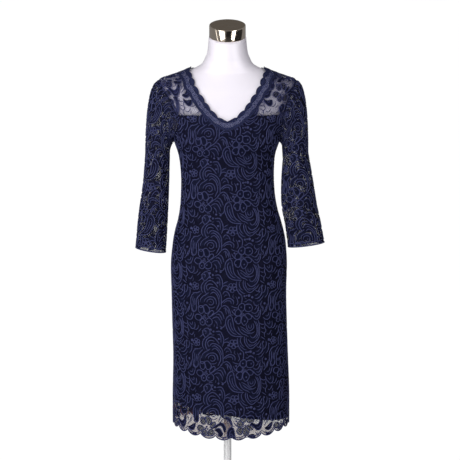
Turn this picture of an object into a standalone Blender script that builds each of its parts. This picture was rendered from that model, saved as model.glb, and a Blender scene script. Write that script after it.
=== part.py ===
"""Lace cocktail dress worn on a limbless white dress form with a metal neck cap.

Metres, +Z up.  The origin is the centre of the base where it meets the floor and
the dress faces -Y, so the wearer's right sleeve is on the -X side.
"""
import math

import bmesh
import bpy
import numpy as np

for stale in list(bpy.data.objects):
    bpy.data.objects.remove(stale, do_unlink=True)

# ---------------------------------------------------------------- dimensions
LACE_WALL = 0.0011
SLIP_WALL = 0.0011
SLIP_DEPTH = 0.0027         # lace face to slip face
FORM_DEPTH = 0.0070         # lace face to the form below it
SEAM = 0.0004               # open seam between neighbouring pieces

HEM_SIDE_Z = 0.417          # lobe tips at the side seams
HEM_FRONT_Z = 0.395         # lobe tips at the centre front
HEM_LOBE = 0.012            # depth of one hem scallop
LOBES_PER_HALF = 6
SLIP_HEM_Z = 0.459
SLIP_HEM_SLANT = -0.20      # rise per metre towards +X
SLIP_TOP_Z = 1.296

TRIM_LOBE = 0.003
ARMHOLE_STEPS = 8           # straight runs along each half armhole

FORM_BOTTOM_Z = 0.760
CAP_RADIUS = 0.0515
CAP_HEIGHT = 0.0330
CAP_TILT = math.radians(22.0)
CAP_CENTRE = (0.0, -0.0026, 1.5157)
NECK_RADIUS = 0.0516
POLE_RADIUS = 0.011
FLANGE_RADIUS = 0.045
BASE_RADIUS = 0.150
BASE_HEIGHT = 0.012

# Level lines round the dressed body.  Each has its height at the side seam, centre
# front and centre back, half width, depth in front and behind, squareness, and how
# far it hangs off the form's centre line.  From ARMPIT up they tilt and close
# round the neck, so the shoulder ridge runs through their side points.
LEVELS = np.array([
    (0.370, 0.370, 0.370, 0.1690, 0.1280, 0.1260, 2.20, 0.010),
    (0.490, 0.490, 0.490, 0.1690, 0.1260, 0.1260, 2.20, 0.010),
    (0.600, 0.600, 0.600, 0.1657, 0.1230, 0.1270, 2.20, 0.009),
    (0.700, 0.700, 0.700, 0.1648, 0.1200, 0.1290, 2.20, 0.006),
    (0.790, 0.790, 0.790, 0.1645, 0.1140, 0.1300, 2.20, 0.004),
    (0.870, 0.870, 0.870, 0.1660, 0.1080, 0.1270, 2.20, 0.004),
    (0.930, 0.930, 0.930, 0.1615, 0.1060, 0.1180, 2.20, 0.005),
    (0.965, 0.965, 0.965, 0.1555, 0.1050, 0.1100, 2.20, 0.005),
    (1.000, 1.000, 1.000, 0.1460, 0.1030, 0.1010, 2.20, 0.005),
    (1.035, 1.035, 1.035, 0.1380, 0.1000, 0.0920, 2.20, 0.003),
    (1.075, 1.075, 1.075, 0.1333, 0.0970, 0.0850, 2.20, 0.001),
    (1.120, 1.120, 1.120, 0.1316, 0.0960, 0.0820, 2.20, 0.000),
    (1.160, 1.160, 1.160, 0.1335, 0.1020, 0.0850, 2.20, -0.001),
    (1.190, 1.190, 1.190, 0.1380, 0.1140, 0.0900, 2.25, -0.002),
    (1.220, 1.220, 1.220, 0.1480, 0.1240, 0.0960, 2.30, -0.002),
    (1.265, 1.260, 1.268, 0.1600, 0.1200, 0.1030, 2.35, -0.001),
    (1.310, 1.297, 1.315, 0.1730, 0.1080, 0.1070, 2.35, 0.000),
    (1.350, 1.328, 1.352, 0.1850, 0.0940, 0.1070, 2.30, 0.000),
    (1.381, 1.351, 1.381, 0.1940, 0.0840, 0.1020, 2.20, 0.000),
    (1.397, 1.367, 1.398, 0.1900, 0.0780, 0.0950, 2.10, 0.000),
    (1.407, 1.382, 1.412, 0.1620, 0.0720, 0.0860, 2.00, 0.000),
    (1.417, 1.397, 1.425, 0.1310, 0.0660, 0.0760, 2.00, 0.000),
    (1.430, 1.412, 1.438, 0.1020, 0.0610, 0.0670, 2.00, 0.000),
    (1.440, 1.427, 1.452, 0.0765, 0.0575, 0.0600, 2.00, 0.000),
    (1.455, 1.443, 1.470, 0.0635, 0.0558, 0.0565, 2.00, 0.000),
    (1.475, 1.462, 1.490, 0.0565, 0.0546, 0.0540, 2.00, 0.000),
    (1.515, 1.493, 1.536, 0.0524, 0.0550, 0.0500, 2.00, 0.000),
])
ARMPIT = 14.0
SHOULDER = 18.75            # where the shoulder seam meets the sleeve head
NECK_TOP = len(LEVELS) - 1.0

# Front and back armhole edges, as distance from the centre line and height,
# between the armpit and the end of the shoulder seam.
ARMHOLE_FRONT_RIGHT = [(0.143, 1.250), (0.140, 1.285), (0.144, 1.312), (0.158, 1.335),
                       (0.174, 1.358)]
ARMHOLE_FRONT_LEFT = [(0.148, 1.250), (0.152, 1.285), (0.160, 1.312), (0.170, 1.340),
                      (0.181, 1.368)]
ARMHOLE_BACK = [(0.149, 1.255), (0.152, 1.295), (0.160, 1.330), (0.173, 1.362)]

# Neckline: the trim lies between its inner and outer edges, and the lace starts
# at the outer one.  First points are on the shoulder seam, last on the centre line.
NECK_OUTER = [(0.124, 1.392), (0.113, 1.364), (0.093, 1.332), (0.069, 1.300),
              (0.036, 1.270), (0.012, 1.258), (0.0, 1.256)]
NECK_INNER = [(0.101, 1.405), (0.091, 1.377), (0.074, 1.349), (0.054, 1.320),
              (0.032, 1.296), (0.012, 1.282), (0.0, 1.280)]
NECK_OUTER_SIDE = 21.05
NECK_INNER_SIDE = 22.0
NECK_BACK_OUTER = [(0.100, 1.400), (0.060, 1.387), (0.0, 1.383)]
NECK_BACK_INNER = [(0.080, 1.422), (0.045, 1.412), (0.0, 1.409)]

# Sleeve stations: height, inner and outer distance from the centre line, front
# and back reach.
SLEEVE_RIGHT = [(1.190, 0.1640, 0.2330, -0.058, 0.056), (1.100, 0.1665, 0.2405, -0.055, 0.047),
                (1.000, 0.1710, 0.2545, -0.052, 0.036), (0.905, 0.1770, 0.2635, -0.049, 0.028)]
SLEEVE_LEFT = [(1.190, 0.1590, 0.2290, -0.058, 0.056), (1.110, 0.1535, 0.2430, -0.054, 0.045),
               (1.040, 0.1545, 0.2540, -0.050, 0.036), (0.980, 0.1655, 0.2665, -0.046, 0.029),
               (0.920, 0.1735, 0.2775, -0.042, 0.022)]
CUFF_RISE_RIGHT = 0.014     # outer edge of the cuff above its inner edge
CUFF_RISE_LEFT = 0.014

FRONT, BACK = 1, -1
NECK_STEPS = {FRONT: 6, BACK: 5}    # straight runs along each half neck edge
TRIM_CUTS = {FRONT: 24, BACK: 15}   # points along it, three to a lobe
LEFT, RIGHT = 1, -1         # the wearer's, so LEFT is +X

collection = bpy.data.collections.new("cocktail_dress")
bpy.context.scene.collection.children.link(collection)


# ------------------------------------------------------------- body surface
def level(s):
    """Smoothly interpolated row of LEVELS at fractional index s."""
    s = np.clip(s, 0.0, NECK_TOP)
    i = np.minimum(s.astype(int), len(LEVELS) - 2)
    t = (s - i)[..., None]
    a, b = LEVELS[np.maximum(i - 1, 0)], LEVELS[i]
    c, d = LEVELS[i + 1], LEVELS[np.minimum(i + 2, len(LEVELS) - 1)]
    slope_b, slope_c = (c - a) / 2, (d - b) / 2
    return (b * (1 + 2 * t) * (1 - t) ** 2 + slope_b * t * (1 - t) ** 2
            + c * t * t * (3 - 2 * t) + slope_c * t * t * (t - 1))


def surface(s, angle):
    """Lace face at level s.  Angle runs from +X through the front to -X, then the back."""
    s, angle = np.broadcast_arrays(np.asarray(s, float), np.asarray(angle, float))
    side_z, front_z, back_z, width, front, back, square, shift = np.moveaxis(level(s), -1, 0)
    c, w = np.cos(angle), np.sin(angle)
    swell = (np.abs(c) ** square + np.abs(w) ** square) ** (-1 / square)
    ahead = w > 0
    x = shift + width * c * swell
    y = -np.where(ahead, front, back) * w * swell
    z = side_z + (front_z - back_z) / 2 * w + ((front_z + back_z) / 2 - side_z) * w * w
    return np.stack([x, y, z], -1)


def normal(s, angle):
    e = 1e-3
    across = surface(s, angle + e) - surface(s, angle - e)
    up = surface(s + e, angle) - surface(s - e, angle)
    n = np.cross(up, across)
    return n / np.linalg.norm(n, axis=-1, keepdims=True)


def level_at(height):
    """Level index at a height below the armpit."""
    return float(np.interp(height, LEVELS[:16, 0], np.arange(16)))


def locate(x, z, face):
    """Level and angle of the body point with this x and z on the front or back."""
    s = float(np.interp(z, LEVELS[:19, 0], np.arange(19)))
    angle = face * math.acos(max(-0.95, min(0.95, x / 0.19)))
    for _ in range(40):
        p = surface(s, angle)
        miss = np.array([x - p[0], z - p[2]])
        ds = (surface(s + 1e-4, angle) - p)[[0, 2]] / 1e-4
        da = (surface(s, angle + 1e-4) - p)[[0, 2]] / 1e-4
        step = np.linalg.solve(np.column_stack([ds, da]), miss)
        s += float(np.clip(step[0], -0.6, 0.6))
        angle += float(np.clip(step[1], -0.15, 0.15))
    return s, angle


def trace(points, side, face, start, end):
    """Edge on the body through points of distance and height, as (level, angle) rows."""
    path = [start] + [locate(side * x, z, face) for x, z in points]
    return np.array(path + ([end] if end else []))


def resample(path, count, power=1.0):
    """Points at even distances along a (level, angle) path."""
    fine = np.linspace(0, len(path) - 1, 40 * (len(path) - 1) + 1)
    rows = np.column_stack([np.interp(fine, np.arange(len(path)), path[:, k]) for k in (0, 1)])
    step = np.linalg.norm(np.diff(surface(rows[:, 0], rows[:, 1]), axis=0), axis=1)
    run = np.concatenate([[0], np.cumsum(step)])
    want = run[-1] * np.linspace(0, 1, count) ** power
    return np.column_stack([np.interp(want, run, rows[:, k]) for k in (0, 1)])


def side_angle(side, face, s):
    """Angle just off the side seam, half a seam gap to the front or back."""
    depth = float(level(np.asarray(s, float))[4 if face == FRONT else 5])
    off = 0.5 * SEAM / depth
    return face * (off if side == LEFT else math.pi - off)


# ------------------------------------------------------------------ meshing
def add_object(name, verts, faces, colour, metal=0.0, rough=0.6):
    mesh = bpy.data.meshes.new(name)
    mesh.from_pydata([tuple(map(float, v)) for v in verts], [], faces)
    bm = bmesh.new()
    bm.from_mesh(mesh)
    bmesh.ops.recalc_face_normals(bm, faces=bm.faces)
    bm.to_mesh(mesh)
    bm.free()
    material = bpy.data.materials.new(name)
    material.use_nodes = True
    shader = material.node_tree.nodes["Principled BSDF"]
    shader.inputs["Base Color"].default_value = (*colour, 1.0)
    shader.inputs["Metallic"].default_value = metal
    shader.inputs["Roughness"].default_value = rough
    mesh.materials.append(material)
    ob = bpy.data.objects.new(name, mesh)
    collection.objects.link(ob)
    return ob


def wall(name, outer, inner, faces, colour, rough=0.8):
    """Closed cloth wall from a sheet of faces with an outer and an inner point each."""
    count = len(outer)
    uses = {}
    for face in faces:
        for a, b in zip(face, face[1:] + face[:1]):
            uses[(a, b)] = True
    rim = [(a, b) for a, b in uses if (b, a) not in uses]
    solid = list(faces)
    solid += [tuple(count + v for v in reversed(face)) for face in faces]
    solid += [(b, a, count + a, count + b) for a, b in rim]
    return add_object(name, list(outer) + list(inner), solid, colour, rough=rough)


def sheet_grid(rows, cols, first=0):
    """Quads of a rows by cols grid of point numbers."""
    return [(first + r * cols + c, first + r * cols + c + 1,
             first + (r + 1) * cols + c + 1, first + (r + 1) * cols + c)
            for r in range(rows - 1) for c in range(cols - 1)]


def weld(points, faces):
    """Merge points that coincide and renumber the faces."""
    keep, number, found = [], [], {}
    for p in points:
        key = (round(float(p[0]), 5), round(float(p[1]), 5))
        if key not in found:
            found[key] = len(keep)
            keep.append(p)
        number.append(found[key])
    return np.array(keep), [tuple(number[v] for v in face) for face in faces]


# ------------------------------------------------------------ dress panels
STEM_ROWS = {FRONT: 2, BACK: 3}     # rows between armpit level and the neck edge
BODY_ROWS = [level_at(z) for z in (0.480, 0.640, 0.780, 0.880, 0.945, 0.995, 1.050, 1.115,
                                   1.175)] + [ARMPIT]


def armhole(side, face):
    """Armhole edge from the armpit to the shoulder seam."""
    table = ARMHOLE_BACK
    if face == FRONT:
        table = ARMHOLE_FRONT_LEFT if side == LEFT else ARMHOLE_FRONT_RIGHT
    start = (ARMPIT, side_angle(side, face, ARMPIT))
    end = (SHOULDER, side_angle(side, face, SHOULDER))
    return trace(table, side, face, start, end)


def neck_edge(side, face, outer, clear=0.0):
    """Trim edge from the shoulder seam to the centre line."""
    table = {(FRONT, True): NECK_OUTER, (FRONT, False): NECK_INNER,
             (BACK, True): NECK_BACK_OUTER, (BACK, False): NECK_BACK_INNER}[(face, outer)]
    s = (NECK_OUTER_SIDE - 14 * clear) if outer else NECK_INNER_SIDE
    start = (s, side_angle(side, face, s))
    return trace([(x + (clear if x else 0), z - clear) for x, z in table], side, face, start, None)


def half_panel(side, face, hem, top_side, top_neck, steps, cols):
    """One half of a front or back, as a grid from the side edge to the centre."""
    centre = face * math.pi / 2
    rows = [((s, side_angle(side, face, s)), (s, centre)) for s in BODY_ROWS]
    edge = resample(top_side, steps + 1)[1:]
    neck = resample(top_neck[::-1], steps - STEM_ROWS[face] + 1)[1:]
    stem = np.array([(ARMPIT, centre), tuple(top_neck[-1])])
    rows += list(zip(edge, np.vstack([resample(stem, STEM_ROWS[face] + 1)[1:], neck])))
    return hem_and_rows(hem, rows, cols)


def hem_and_rows(hem, rows, cols):
    """Grid of even points along each row, over one more row on the hem."""
    spread = np.linspace(0, 1, cols)[:, None]
    grid = np.array([np.array(a) + (np.array(b) - np.array(a)) * spread for a, b in rows])
    low = grid[0].copy()
    low[:, 0] = [hem(angle) for angle in low[:, 1]]
    return np.vstack([low[None], grid]).reshape(-1, 2), len(rows) + 1


def lace_hem(angle):
    """Level of the scalloped edge: lobe tips dip to the centre and rise at the sides."""
    turn = abs(math.sin(angle)) ** 2.5
    tip = HEM_SIDE_Z + (HEM_FRONT_Z - HEM_SIDE_Z) * turn
    phase = (abs(angle) / (math.pi / 2) * LOBES_PER_HALF) % 1.0
    valley = min(phase, 1 - phase) < 0.1
    return level_at(tip + (HEM_LOBE if valley else 0.0))


def slip_hem(angle):
    x = float(surface(1.0, angle)[0])
    return level_at(SLIP_HEM_Z + SLIP_HEM_SLANT * x * 0.7)


def cut_at(path, height):
    """Shorten a path where it passes a height."""
    fine = resample(path, 200)
    z = surface(fine[:, 0], fine[:, 1])[:, 2]
    below = np.flatnonzero(z <= height)
    return fine[below]


def make_panel(name, face, halves, cols, depth, thick, colour):
    """Weld a left and a right half grid on the centre line into one wall."""
    points, faces = [], []
    for side, (grid, rows) in halves.items():
        quads = sheet_grid(rows, cols, len(points))
        if side * face < 0:
            quads = [tuple(reversed(q)) for q in quads]
        faces += quads
        points += list(grid)
    points, faces = weld(points, faces)
    p = surface(points[:, 0], points[:, 1])
    n = normal(points[:, 0], points[:, 1])
    return wall(name, p - n * depth, p - n * (depth + thick), faces, colour)


NAVY = (0.014, 0.016, 0.042)
INK = (0.006, 0.007, 0.018)
TRIM_BLUE = (0.050, 0.055, 0.130)
WHITE = (0.86, 0.85, 0.88)
BRONZE = (0.29, 0.24, 0.19)
lace_cols = 3 * LOBES_PER_HALF + 1
for name, face in (("lace_front", FRONT), ("lace_back", BACK)):
    halves = {side: half_panel(side, face, lace_hem, armhole(side, face),
                               neck_edge(side, face, True, SEAM), ARMHOLE_STEPS, lace_cols)
              for side in (LEFT, RIGHT)}
    make_panel(name, face, halves, lace_cols, 0.0, LACE_WALL, NAVY)

slip_cols = lace_cols // 2 + 1
halves = {}
for side in (LEFT, RIGHT):
    neck = cut_at(neck_edge(side, FRONT, True, SEAM)[::-1], SLIP_TOP_Z)[::-1]
    halves[side] = half_panel(side, FRONT, slip_hem, cut_at(armhole(side, FRONT), SLIP_TOP_Z),
                              neck, 4, slip_cols)
make_panel("slip_front", FRONT, halves, slip_cols, SLIP_DEPTH, SLIP_WALL, INK)

halves = {}
for side in (LEFT, RIGHT):
    edge = resample(cut_at(armhole(side, BACK), SLIP_TOP_Z), 4)[1:]
    stem = np.array([(ARMPIT, -math.pi / 2), locate(0.0, SLIP_TOP_Z, BACK)])
    rows = [((s, side_angle(side, BACK, s)), (s, -math.pi / 2)) for s in BODY_ROWS]
    rows += list(zip(edge, resample(stem, 4)[1:]))
    halves[side] = hem_and_rows(slip_hem, rows, slip_cols)
make_panel("slip_back", BACK, halves, slip_cols, SLIP_DEPTH, SLIP_WALL, INK)


# ------------------------------------------------------------ neckline trim
def trim_strip(side, face, open_end):
    """Points and normals of a strip whose outer edge runs straight between seam nodes."""
    steps = NECK_STEPS[face]
    count = TRIM_CUTS[face] + 1
    nodes = resample(neck_edge(side, face, True), steps + 1)
    at_nodes = np.hstack([surface(nodes[:, 0], nodes[:, 1]), normal(nodes[:, 0], nodes[:, 1])])
    along = np.linspace(0, steps, count)
    outer = np.column_stack([np.interp(along, np.arange(steps + 1), at_nodes[:, k])
                             for k in range(6)])
    edge = np.column_stack([np.interp(along, np.arange(steps + 1), nodes[:, k]) for k in (0, 1)])
    inner = resample(neck_edge(side, face, False), count)
    lobe = TRIM_LOBE / 0.028
    inner += (inner - edge) * (lobe * (np.arange(count) % 3 > 0))[:, None]
    rows = [outer]
    rows.append(np.hstack([surface(inner[:, 0], inner[:, 1]), normal(inner[:, 0], inner[:, 1])]))
    rows = np.array(rows)
    if open_end:
        rows[:, -1, 0] = side * SEAM / 2
    return rows.reshape(-1, 6), count


def trim_faces(side, face, count, first=0):
    quads = sheet_grid(2, count, first)
    return [tuple(reversed(q)) for q in quads] if side * face > 0 else quads


for name, side in (("trim_front_left", LEFT), ("trim_front_right", RIGHT)):
    strip, count = trim_strip(side, FRONT, True)
    wall(name, strip[:, :3], strip[:, :3] - strip[:, 3:] * LACE_WALL,
         trim_faces(side, FRONT, count), TRIM_BLUE)

left, count = trim_strip(LEFT, BACK, False)
right, count = trim_strip(RIGHT, BACK, False)
faces = trim_faces(LEFT, BACK, count) + trim_faces(RIGHT, BACK, count, len(left))
number, last = {}, count - 1
for row in range(2):
    number[len(left) + row * count + last] = row * count + last
faces = [tuple(number.get(v, v) for v in q) for q in faces]
strip = np.vstack([left, right])
used = sorted({v for q in faces for v in q})
faces = [tuple(used.index(v) for v in q) for q in faces]
strip = strip[used]
wall("trim_back", strip[:, :3], strip[:, :3] - strip[:, 3:] * LACE_WALL, faces, TRIM_BLUE)


# ------------------------------------------------------------------ sleeves
def tube_point(stations, side, turn, height):
    """Point of the hanging sleeve, with turn 0 next to the body and pi outside."""
    table = np.array(stations)[::-1]
    inner, outer, front, back = (np.interp(height, table[:, 0], table[:, k]) for k in (1, 2, 3, 4))
    x = (inner + outer) / 2 - (outer - inner) / 2 * math.cos(turn)
    reach = front if math.sin(turn) > 0 else -back
    return np.array([side * x, reach * math.sin(turn), height])


def make_sleeve(name, side, stations, cuff_rise):
    half = ARMHOLE_STEPS
    around = 2 * half
    front = resample(armhole(side, FRONT), half + 1)
    back = resample(armhole(side, BACK), half + 1)[::-1]
    loop = np.vstack([front[:-1], back[:-1]])
    loop[0, 1] = loop[half, 1] = 0.0 if side == LEFT else math.pi
    p = surface(loop[:, 0], loop[:, 1])
    n = normal(loop[:, 0], loop[:, 1])
    away = np.array([side, 0.0, 0.0])
    lift = SEAM + LACE_WALL * np.clip(n @ away, 0, 1)
    start = p - n * LACE_WALL / 2 + away * lift[:, None]
    turns = np.arange(around) * 2 * math.pi / around
    top, cuff = stations[0][0], stations[-1][0]
    rings = []
    for t in np.linspace(0, 1, 7) ** 1.2:
        ring = []
        for k in range(around):
            end = tube_point(stations, side, turns[k], top)
            span = np.linalg.norm(end - start[k])
            pull = away * 0.45 * span
            drop = np.array([0, 0, -1.2 * span])
            ring.append(start[k] * (1 + 2 * t) * (1 - t) ** 2 + pull * t * (1 - t) ** 2
                        + end * t * t * (3 - 2 * t) + drop * t * t * (t - 1))
        rings.append(ring)
    for f in np.linspace(0, 1, 6)[1:]:
        ring = []
        for turn in turns:
            rise = f * cuff_rise * (1 - math.cos(turn)) / 2
            ring.append(tube_point(stations, side, turn, top + (cuff - top) * f + rise))
        rings.append(ring)
    rings = np.array(rings)
    across = np.roll(rings, -1, axis=1) - np.roll(rings, 1, axis=1)
    down = np.gradient(rings, axis=0)
    out = np.cross(across, down)
    out /= np.linalg.norm(out, axis=-1, keepdims=True)
    middle = rings.mean(axis=1, keepdims=True)
    out *= np.sign(((rings - middle) * out).sum(-1, keepdims=True).sum())
    faces = [(r * around + k, r * around + (k + 1) % around,
              (r + 1) * around + (k + 1) % around, (r + 1) * around + k)
             for r in range(len(rings) - 1) for k in range(around)]
    half_wall = out * LACE_WALL / 2
    return wall(name, (rings + half_wall).reshape(-1, 3), (rings - half_wall).reshape(-1, 3),
                faces, NAVY)


make_sleeve("sleeve_right", RIGHT, SLEEVE_RIGHT, CUFF_RISE_RIGHT)
make_sleeve("sleeve_left", LEFT, SLEEVE_LEFT, CUFF_RISE_LEFT)


# --------------------------------------------------------------------- form
def make_form():
    """Smooth closed torso and neck under the dress."""
    around = 4 * (slip_cols - 1)
    angles = np.arange(around) * 2 * math.pi / around
    levels = [level_at(FORM_BOTTOM_Z + 0.012)]
    levels += [s for s in BODY_ROWS if s > levels[0] + 0.2]
    levels += list(np.arange(ARMPIT + 0.5, NECK_TOP - 0.1, 0.5))
    rings = []
    for s in levels:
        depth = FORM_DEPTH * float(np.clip((24.0 - s) / 2.0, 0, 1))
        p = surface(s, angles) - normal(np.full(around, s), angles) * depth
        rings.append(p)
    floor = rings[0].copy()
    centre = floor.mean(axis=0)
    floor[:, :2] = centre[:2] + (floor[:, :2] - centre[:2]) * 0.92
    floor[:, 2] = FORM_BOTTOM_Z
    rings.insert(0, floor)
    y, z = NECK_RADIUS * np.sin(-angles) * math.cos(CAP_TILT), -np.sin(angles) * math.sin(CAP_TILT)
    top = np.column_stack([NECK_RADIUS * np.cos(angles), y, NECK_RADIUS * z])
    rings.append(top + np.array(CAP_CENTRE) - (0.0, 0.0, 0.0004))
    faces = [(r * around + k, r * around + (k + 1) % around,
              (r + 1) * around + (k + 1) % around, (r + 1) * around + k)
             for r in range(len(rings) - 1) for k in range(around)]
    faces.append(tuple(range(around)))
    last = (len(rings) - 1) * around
    faces.append(tuple(last + k for k in range(around)))
    add_object("form_torso", np.array(rings).reshape(-1, 3), faces, WHITE, rough=0.45)


make_form()


def lathe(name, profile, around, colour, metal=0.0, rough=0.5, tilt=0.0, centre=(0, 0, 0)):
    """Solid turned from a radius and height profile, tilted forward about its centre."""
    verts, faces = [], []
    for radius, height in profile:
        for k in range(around):
            a = 2 * math.pi * k / around
            x, y = radius * math.cos(a), radius * math.sin(a)
            verts.append((centre[0] + x,
                          centre[1] + y * math.cos(tilt) - height * math.sin(tilt),
                          centre[2] + y * math.sin(tilt) + height * math.cos(tilt)))
    for r in range(len(profile) - 1):
        for k in range(around):
            m = (k + 1) % around
            faces.append((r * around + k, r * around + m, (r + 1) * around + m, (r + 1) * around + k))
    faces.append(tuple(range(around)))
    faces.append(tuple((len(profile) - 1) * around + k for k in range(around)))
    return add_object(name, verts, faces, colour, metal, rough)


cap_profile = [(CAP_RADIUS - 0.0005, 0.0), (CAP_RADIUS, 0.0008), (CAP_RADIUS - 0.001, CAP_HEIGHT - 0.002),
               (CAP_RADIUS - 0.003, CAP_HEIGHT)]
lathe("neck_cap", cap_profile, 48, BRONZE, 1.0, 0.25, CAP_TILT, CAP_CENTRE)

base_profile = [(BASE_RADIUS - 0.002, 0.0), (BASE_RADIUS, 0.002), (BASE_RADIUS, BASE_HEIGHT - 0.005),
                (BASE_RADIUS - 0.004, BASE_HEIGHT - 0.001), (BASE_RADIUS - 0.012, BASE_HEIGHT)]
lathe("stand_base", base_profile, 64, WHITE, 0.0, 0.35)

pole_top = FORM_BOTTOM_Z - 0.0003
pole_profile = [(0.024, BASE_HEIGHT + 0.0003), (0.024, BASE_HEIGHT + 0.012), (0.020, BASE_HEIGHT + 0.016),
                (POLE_RADIUS, BASE_HEIGHT + 0.018), (POLE_RADIUS, pole_top - 0.014),
                (0.018, pole_top - 0.012), (FLANGE_RADIUS, pole_top - 0.004), (FLANGE_RADIUS, pole_top)]
lathe("stand_pole", pole_profile, 32, WHITE, 0.0, 0.35)
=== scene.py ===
"""Looks of a lace cocktail dress worn on a white dress form with a bronze neck cap.

Metres, +Z up, dress facing -Y.  Every cloth lies on the body surface or the sleeve
tubes of the CAD part, so their level lines are repeated here.  The lace is charted
in millimetres of flat cloth, as one repeat that is laid over every panel.
"""
import math

import bpy
import numpy as np
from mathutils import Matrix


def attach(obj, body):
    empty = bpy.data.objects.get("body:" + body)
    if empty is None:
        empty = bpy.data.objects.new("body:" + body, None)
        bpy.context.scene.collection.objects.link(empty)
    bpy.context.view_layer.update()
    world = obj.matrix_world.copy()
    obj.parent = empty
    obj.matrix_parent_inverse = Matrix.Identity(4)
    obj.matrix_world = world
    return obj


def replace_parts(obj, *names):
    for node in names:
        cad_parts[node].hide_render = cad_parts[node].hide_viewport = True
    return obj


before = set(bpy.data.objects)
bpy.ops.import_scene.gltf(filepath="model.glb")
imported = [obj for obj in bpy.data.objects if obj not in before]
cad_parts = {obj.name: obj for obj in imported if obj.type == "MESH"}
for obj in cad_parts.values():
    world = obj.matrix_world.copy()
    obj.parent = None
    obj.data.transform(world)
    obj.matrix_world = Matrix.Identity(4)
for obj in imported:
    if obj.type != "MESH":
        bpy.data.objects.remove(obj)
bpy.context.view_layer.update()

# ---------------------------------------------------------------- dimensions
NET_DEPTH = 0.0009          # net ground below the lace face
SLIP_DEPTH = 0.0029
SLIP_WALL = 0.0008
FORM_DEPTH = 0.0070

HEM_SIDE_Z = 0.417
HEM_FRONT_Z = 0.395
HEM_LOBE = 0.012
LOBES_PER_HALF = 6
EDGE_STEPS = 12 * LOBES_PER_HALF    # steps along half of the hem
SLIP_HEM_Z = 0.459
SLIP_HEM_SLANT = -0.14      # rise of the slip's hem per metre to the wearer's left
SLIP_TOP_Z = 1.296
TRIM_WIDTH = 0.028
TRIM_LOBE = 0.003
TRIM_NOTCH = 0.0055         # depth of the notches between scallops
TRIM_LOBES = {1: 8, -1: 5}  # scallops on half of the front and back neckline

FORM_BOTTOM_Z = 0.760
CAP_RADIUS = 0.0515
CAP_HEIGHT = 0.0330
CAP_TILT = math.radians(22.0)
CAP_CENTRE = (0.0, -0.0026, 1.5157)
NECK_RADIUS = 0.0516
POLE_RADIUS = 0.011
FLANGE_RADIUS = 0.045
BASE_RADIUS = 0.150
BASE_HEIGHT = 0.012

# Level lines round the dressed body up to the bust: height, half width, depth in front
# and behind, squareness, sideways shift.
BODY_LEVELS = [
    (0.370, 0.1690, 0.1280, 0.1260, 2.20, 0.010), (0.490, 0.1690, 0.1260, 0.1260, 2.20, 0.010),
    (0.600, 0.1657, 0.1230, 0.1270, 2.20, 0.009), (0.700, 0.1648, 0.1200, 0.1290, 2.20, 0.006),
    (0.790, 0.1645, 0.1140, 0.1300, 2.20, 0.004), (0.870, 0.1660, 0.1080, 0.1270, 2.20, 0.004),
    (0.930, 0.1615, 0.1060, 0.1180, 2.20, 0.005), (0.965, 0.1555, 0.1050, 0.1100, 2.20, 0.005),
    (1.000, 0.1460, 0.1030, 0.1010, 2.20, 0.005), (1.035, 0.1380, 0.1000, 0.0920, 2.20, 0.003),
    (1.075, 0.1333, 0.0970, 0.0850, 2.20, 0.001), (1.120, 0.1316, 0.0960, 0.0820, 2.20, 0.000),
    (1.160, 0.1335, 0.1020, 0.0850, 2.20, -0.001), (1.190, 0.1380, 0.1140, 0.0900, 2.25, -0.002),
    (1.220, 0.1480, 0.1240, 0.0960, 2.30, -0.002),
]
# From the bust up: height at the side seam, centre front and centre back, then the same.
YOKE_LEVELS = [
    (1.265, 1.260, 1.268, 0.1600, 0.1200, 0.1030, 2.35, -0.001),
    (1.310, 1.297, 1.315, 0.1730, 0.1080, 0.1070, 2.35, 0.000),
    (1.350, 1.328, 1.352, 0.1850, 0.0940, 0.1070, 2.30, 0.000),
    (1.381, 1.351, 1.381, 0.1940, 0.0840, 0.1020, 2.20, 0.000),
    (1.397, 1.367, 1.398, 0.1900, 0.0780, 0.0950, 2.10, 0.000),
    (1.407, 1.382, 1.412, 0.1620, 0.0720, 0.0860, 2.00, 0.000),
    (1.417, 1.397, 1.425, 0.1310, 0.0660, 0.0760, 2.00, 0.000),
    (1.430, 1.412, 1.438, 0.1020, 0.0610, 0.0670, 2.00, 0.000),
    (1.440, 1.427, 1.452, 0.0765, 0.0575, 0.0600, 2.00, 0.000),
    (1.455, 1.443, 1.470, 0.0635, 0.0558, 0.0565, 2.00, 0.000),
    (1.475, 1.462, 1.490, 0.0565, 0.0546, 0.0540, 2.00, 0.000),
    (1.515, 1.493, 1.536, 0.0524, 0.0550, 0.0500, 2.00, 0.000),
]
LEVELS = np.array([row[:1] * 2 + row for row in BODY_LEVELS] + YOKE_LEVELS)
WAIST = 11.0
ARMPIT = 14.0
SHOULDER = 18.75
BARE_NECK = 24.0            # above it the form has no cloth over it
NECK_TOP = len(LEVELS) - 1.0
ARMPIT_ROWS = 16            # rows of the table up to the armpit
SHOULDER_ROWS = 19          # and up to the shoulder
CHEST_HALF_WIDTH = 0.19

# Panel edges as distance from the centre line and height.
ARMHOLE_FRONT_RIGHT = [(0.143, 1.250), (0.140, 1.285), (0.144, 1.312), (0.158, 1.335),
                       (0.174, 1.358)]
ARMHOLE_FRONT_LEFT = [(0.148, 1.250), (0.152, 1.285), (0.160, 1.312), (0.170, 1.340),
                      (0.181, 1.368)]
ARMHOLE_BACK = [(0.149, 1.255), (0.152, 1.295), (0.160, 1.330), (0.173, 1.362)]
NECK_OUTER = [(0.124, 1.392), (0.113, 1.364), (0.093, 1.332), (0.069, 1.300),
              (0.036, 1.270), (0.012, 1.258), (0.0, 1.256)]
NECK_INNER = [(0.101, 1.405), (0.091, 1.377), (0.074, 1.349), (0.054, 1.320),
              (0.032, 1.296), (0.012, 1.282), (0.0, 1.280)]
NECK_OUTER_SIDE = 21.05
NECK_INNER_SIDE = 22.0
NECK_BACK_OUTER = [(0.100, 1.400), (0.060, 1.387), (0.0, 1.383)]
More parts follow.
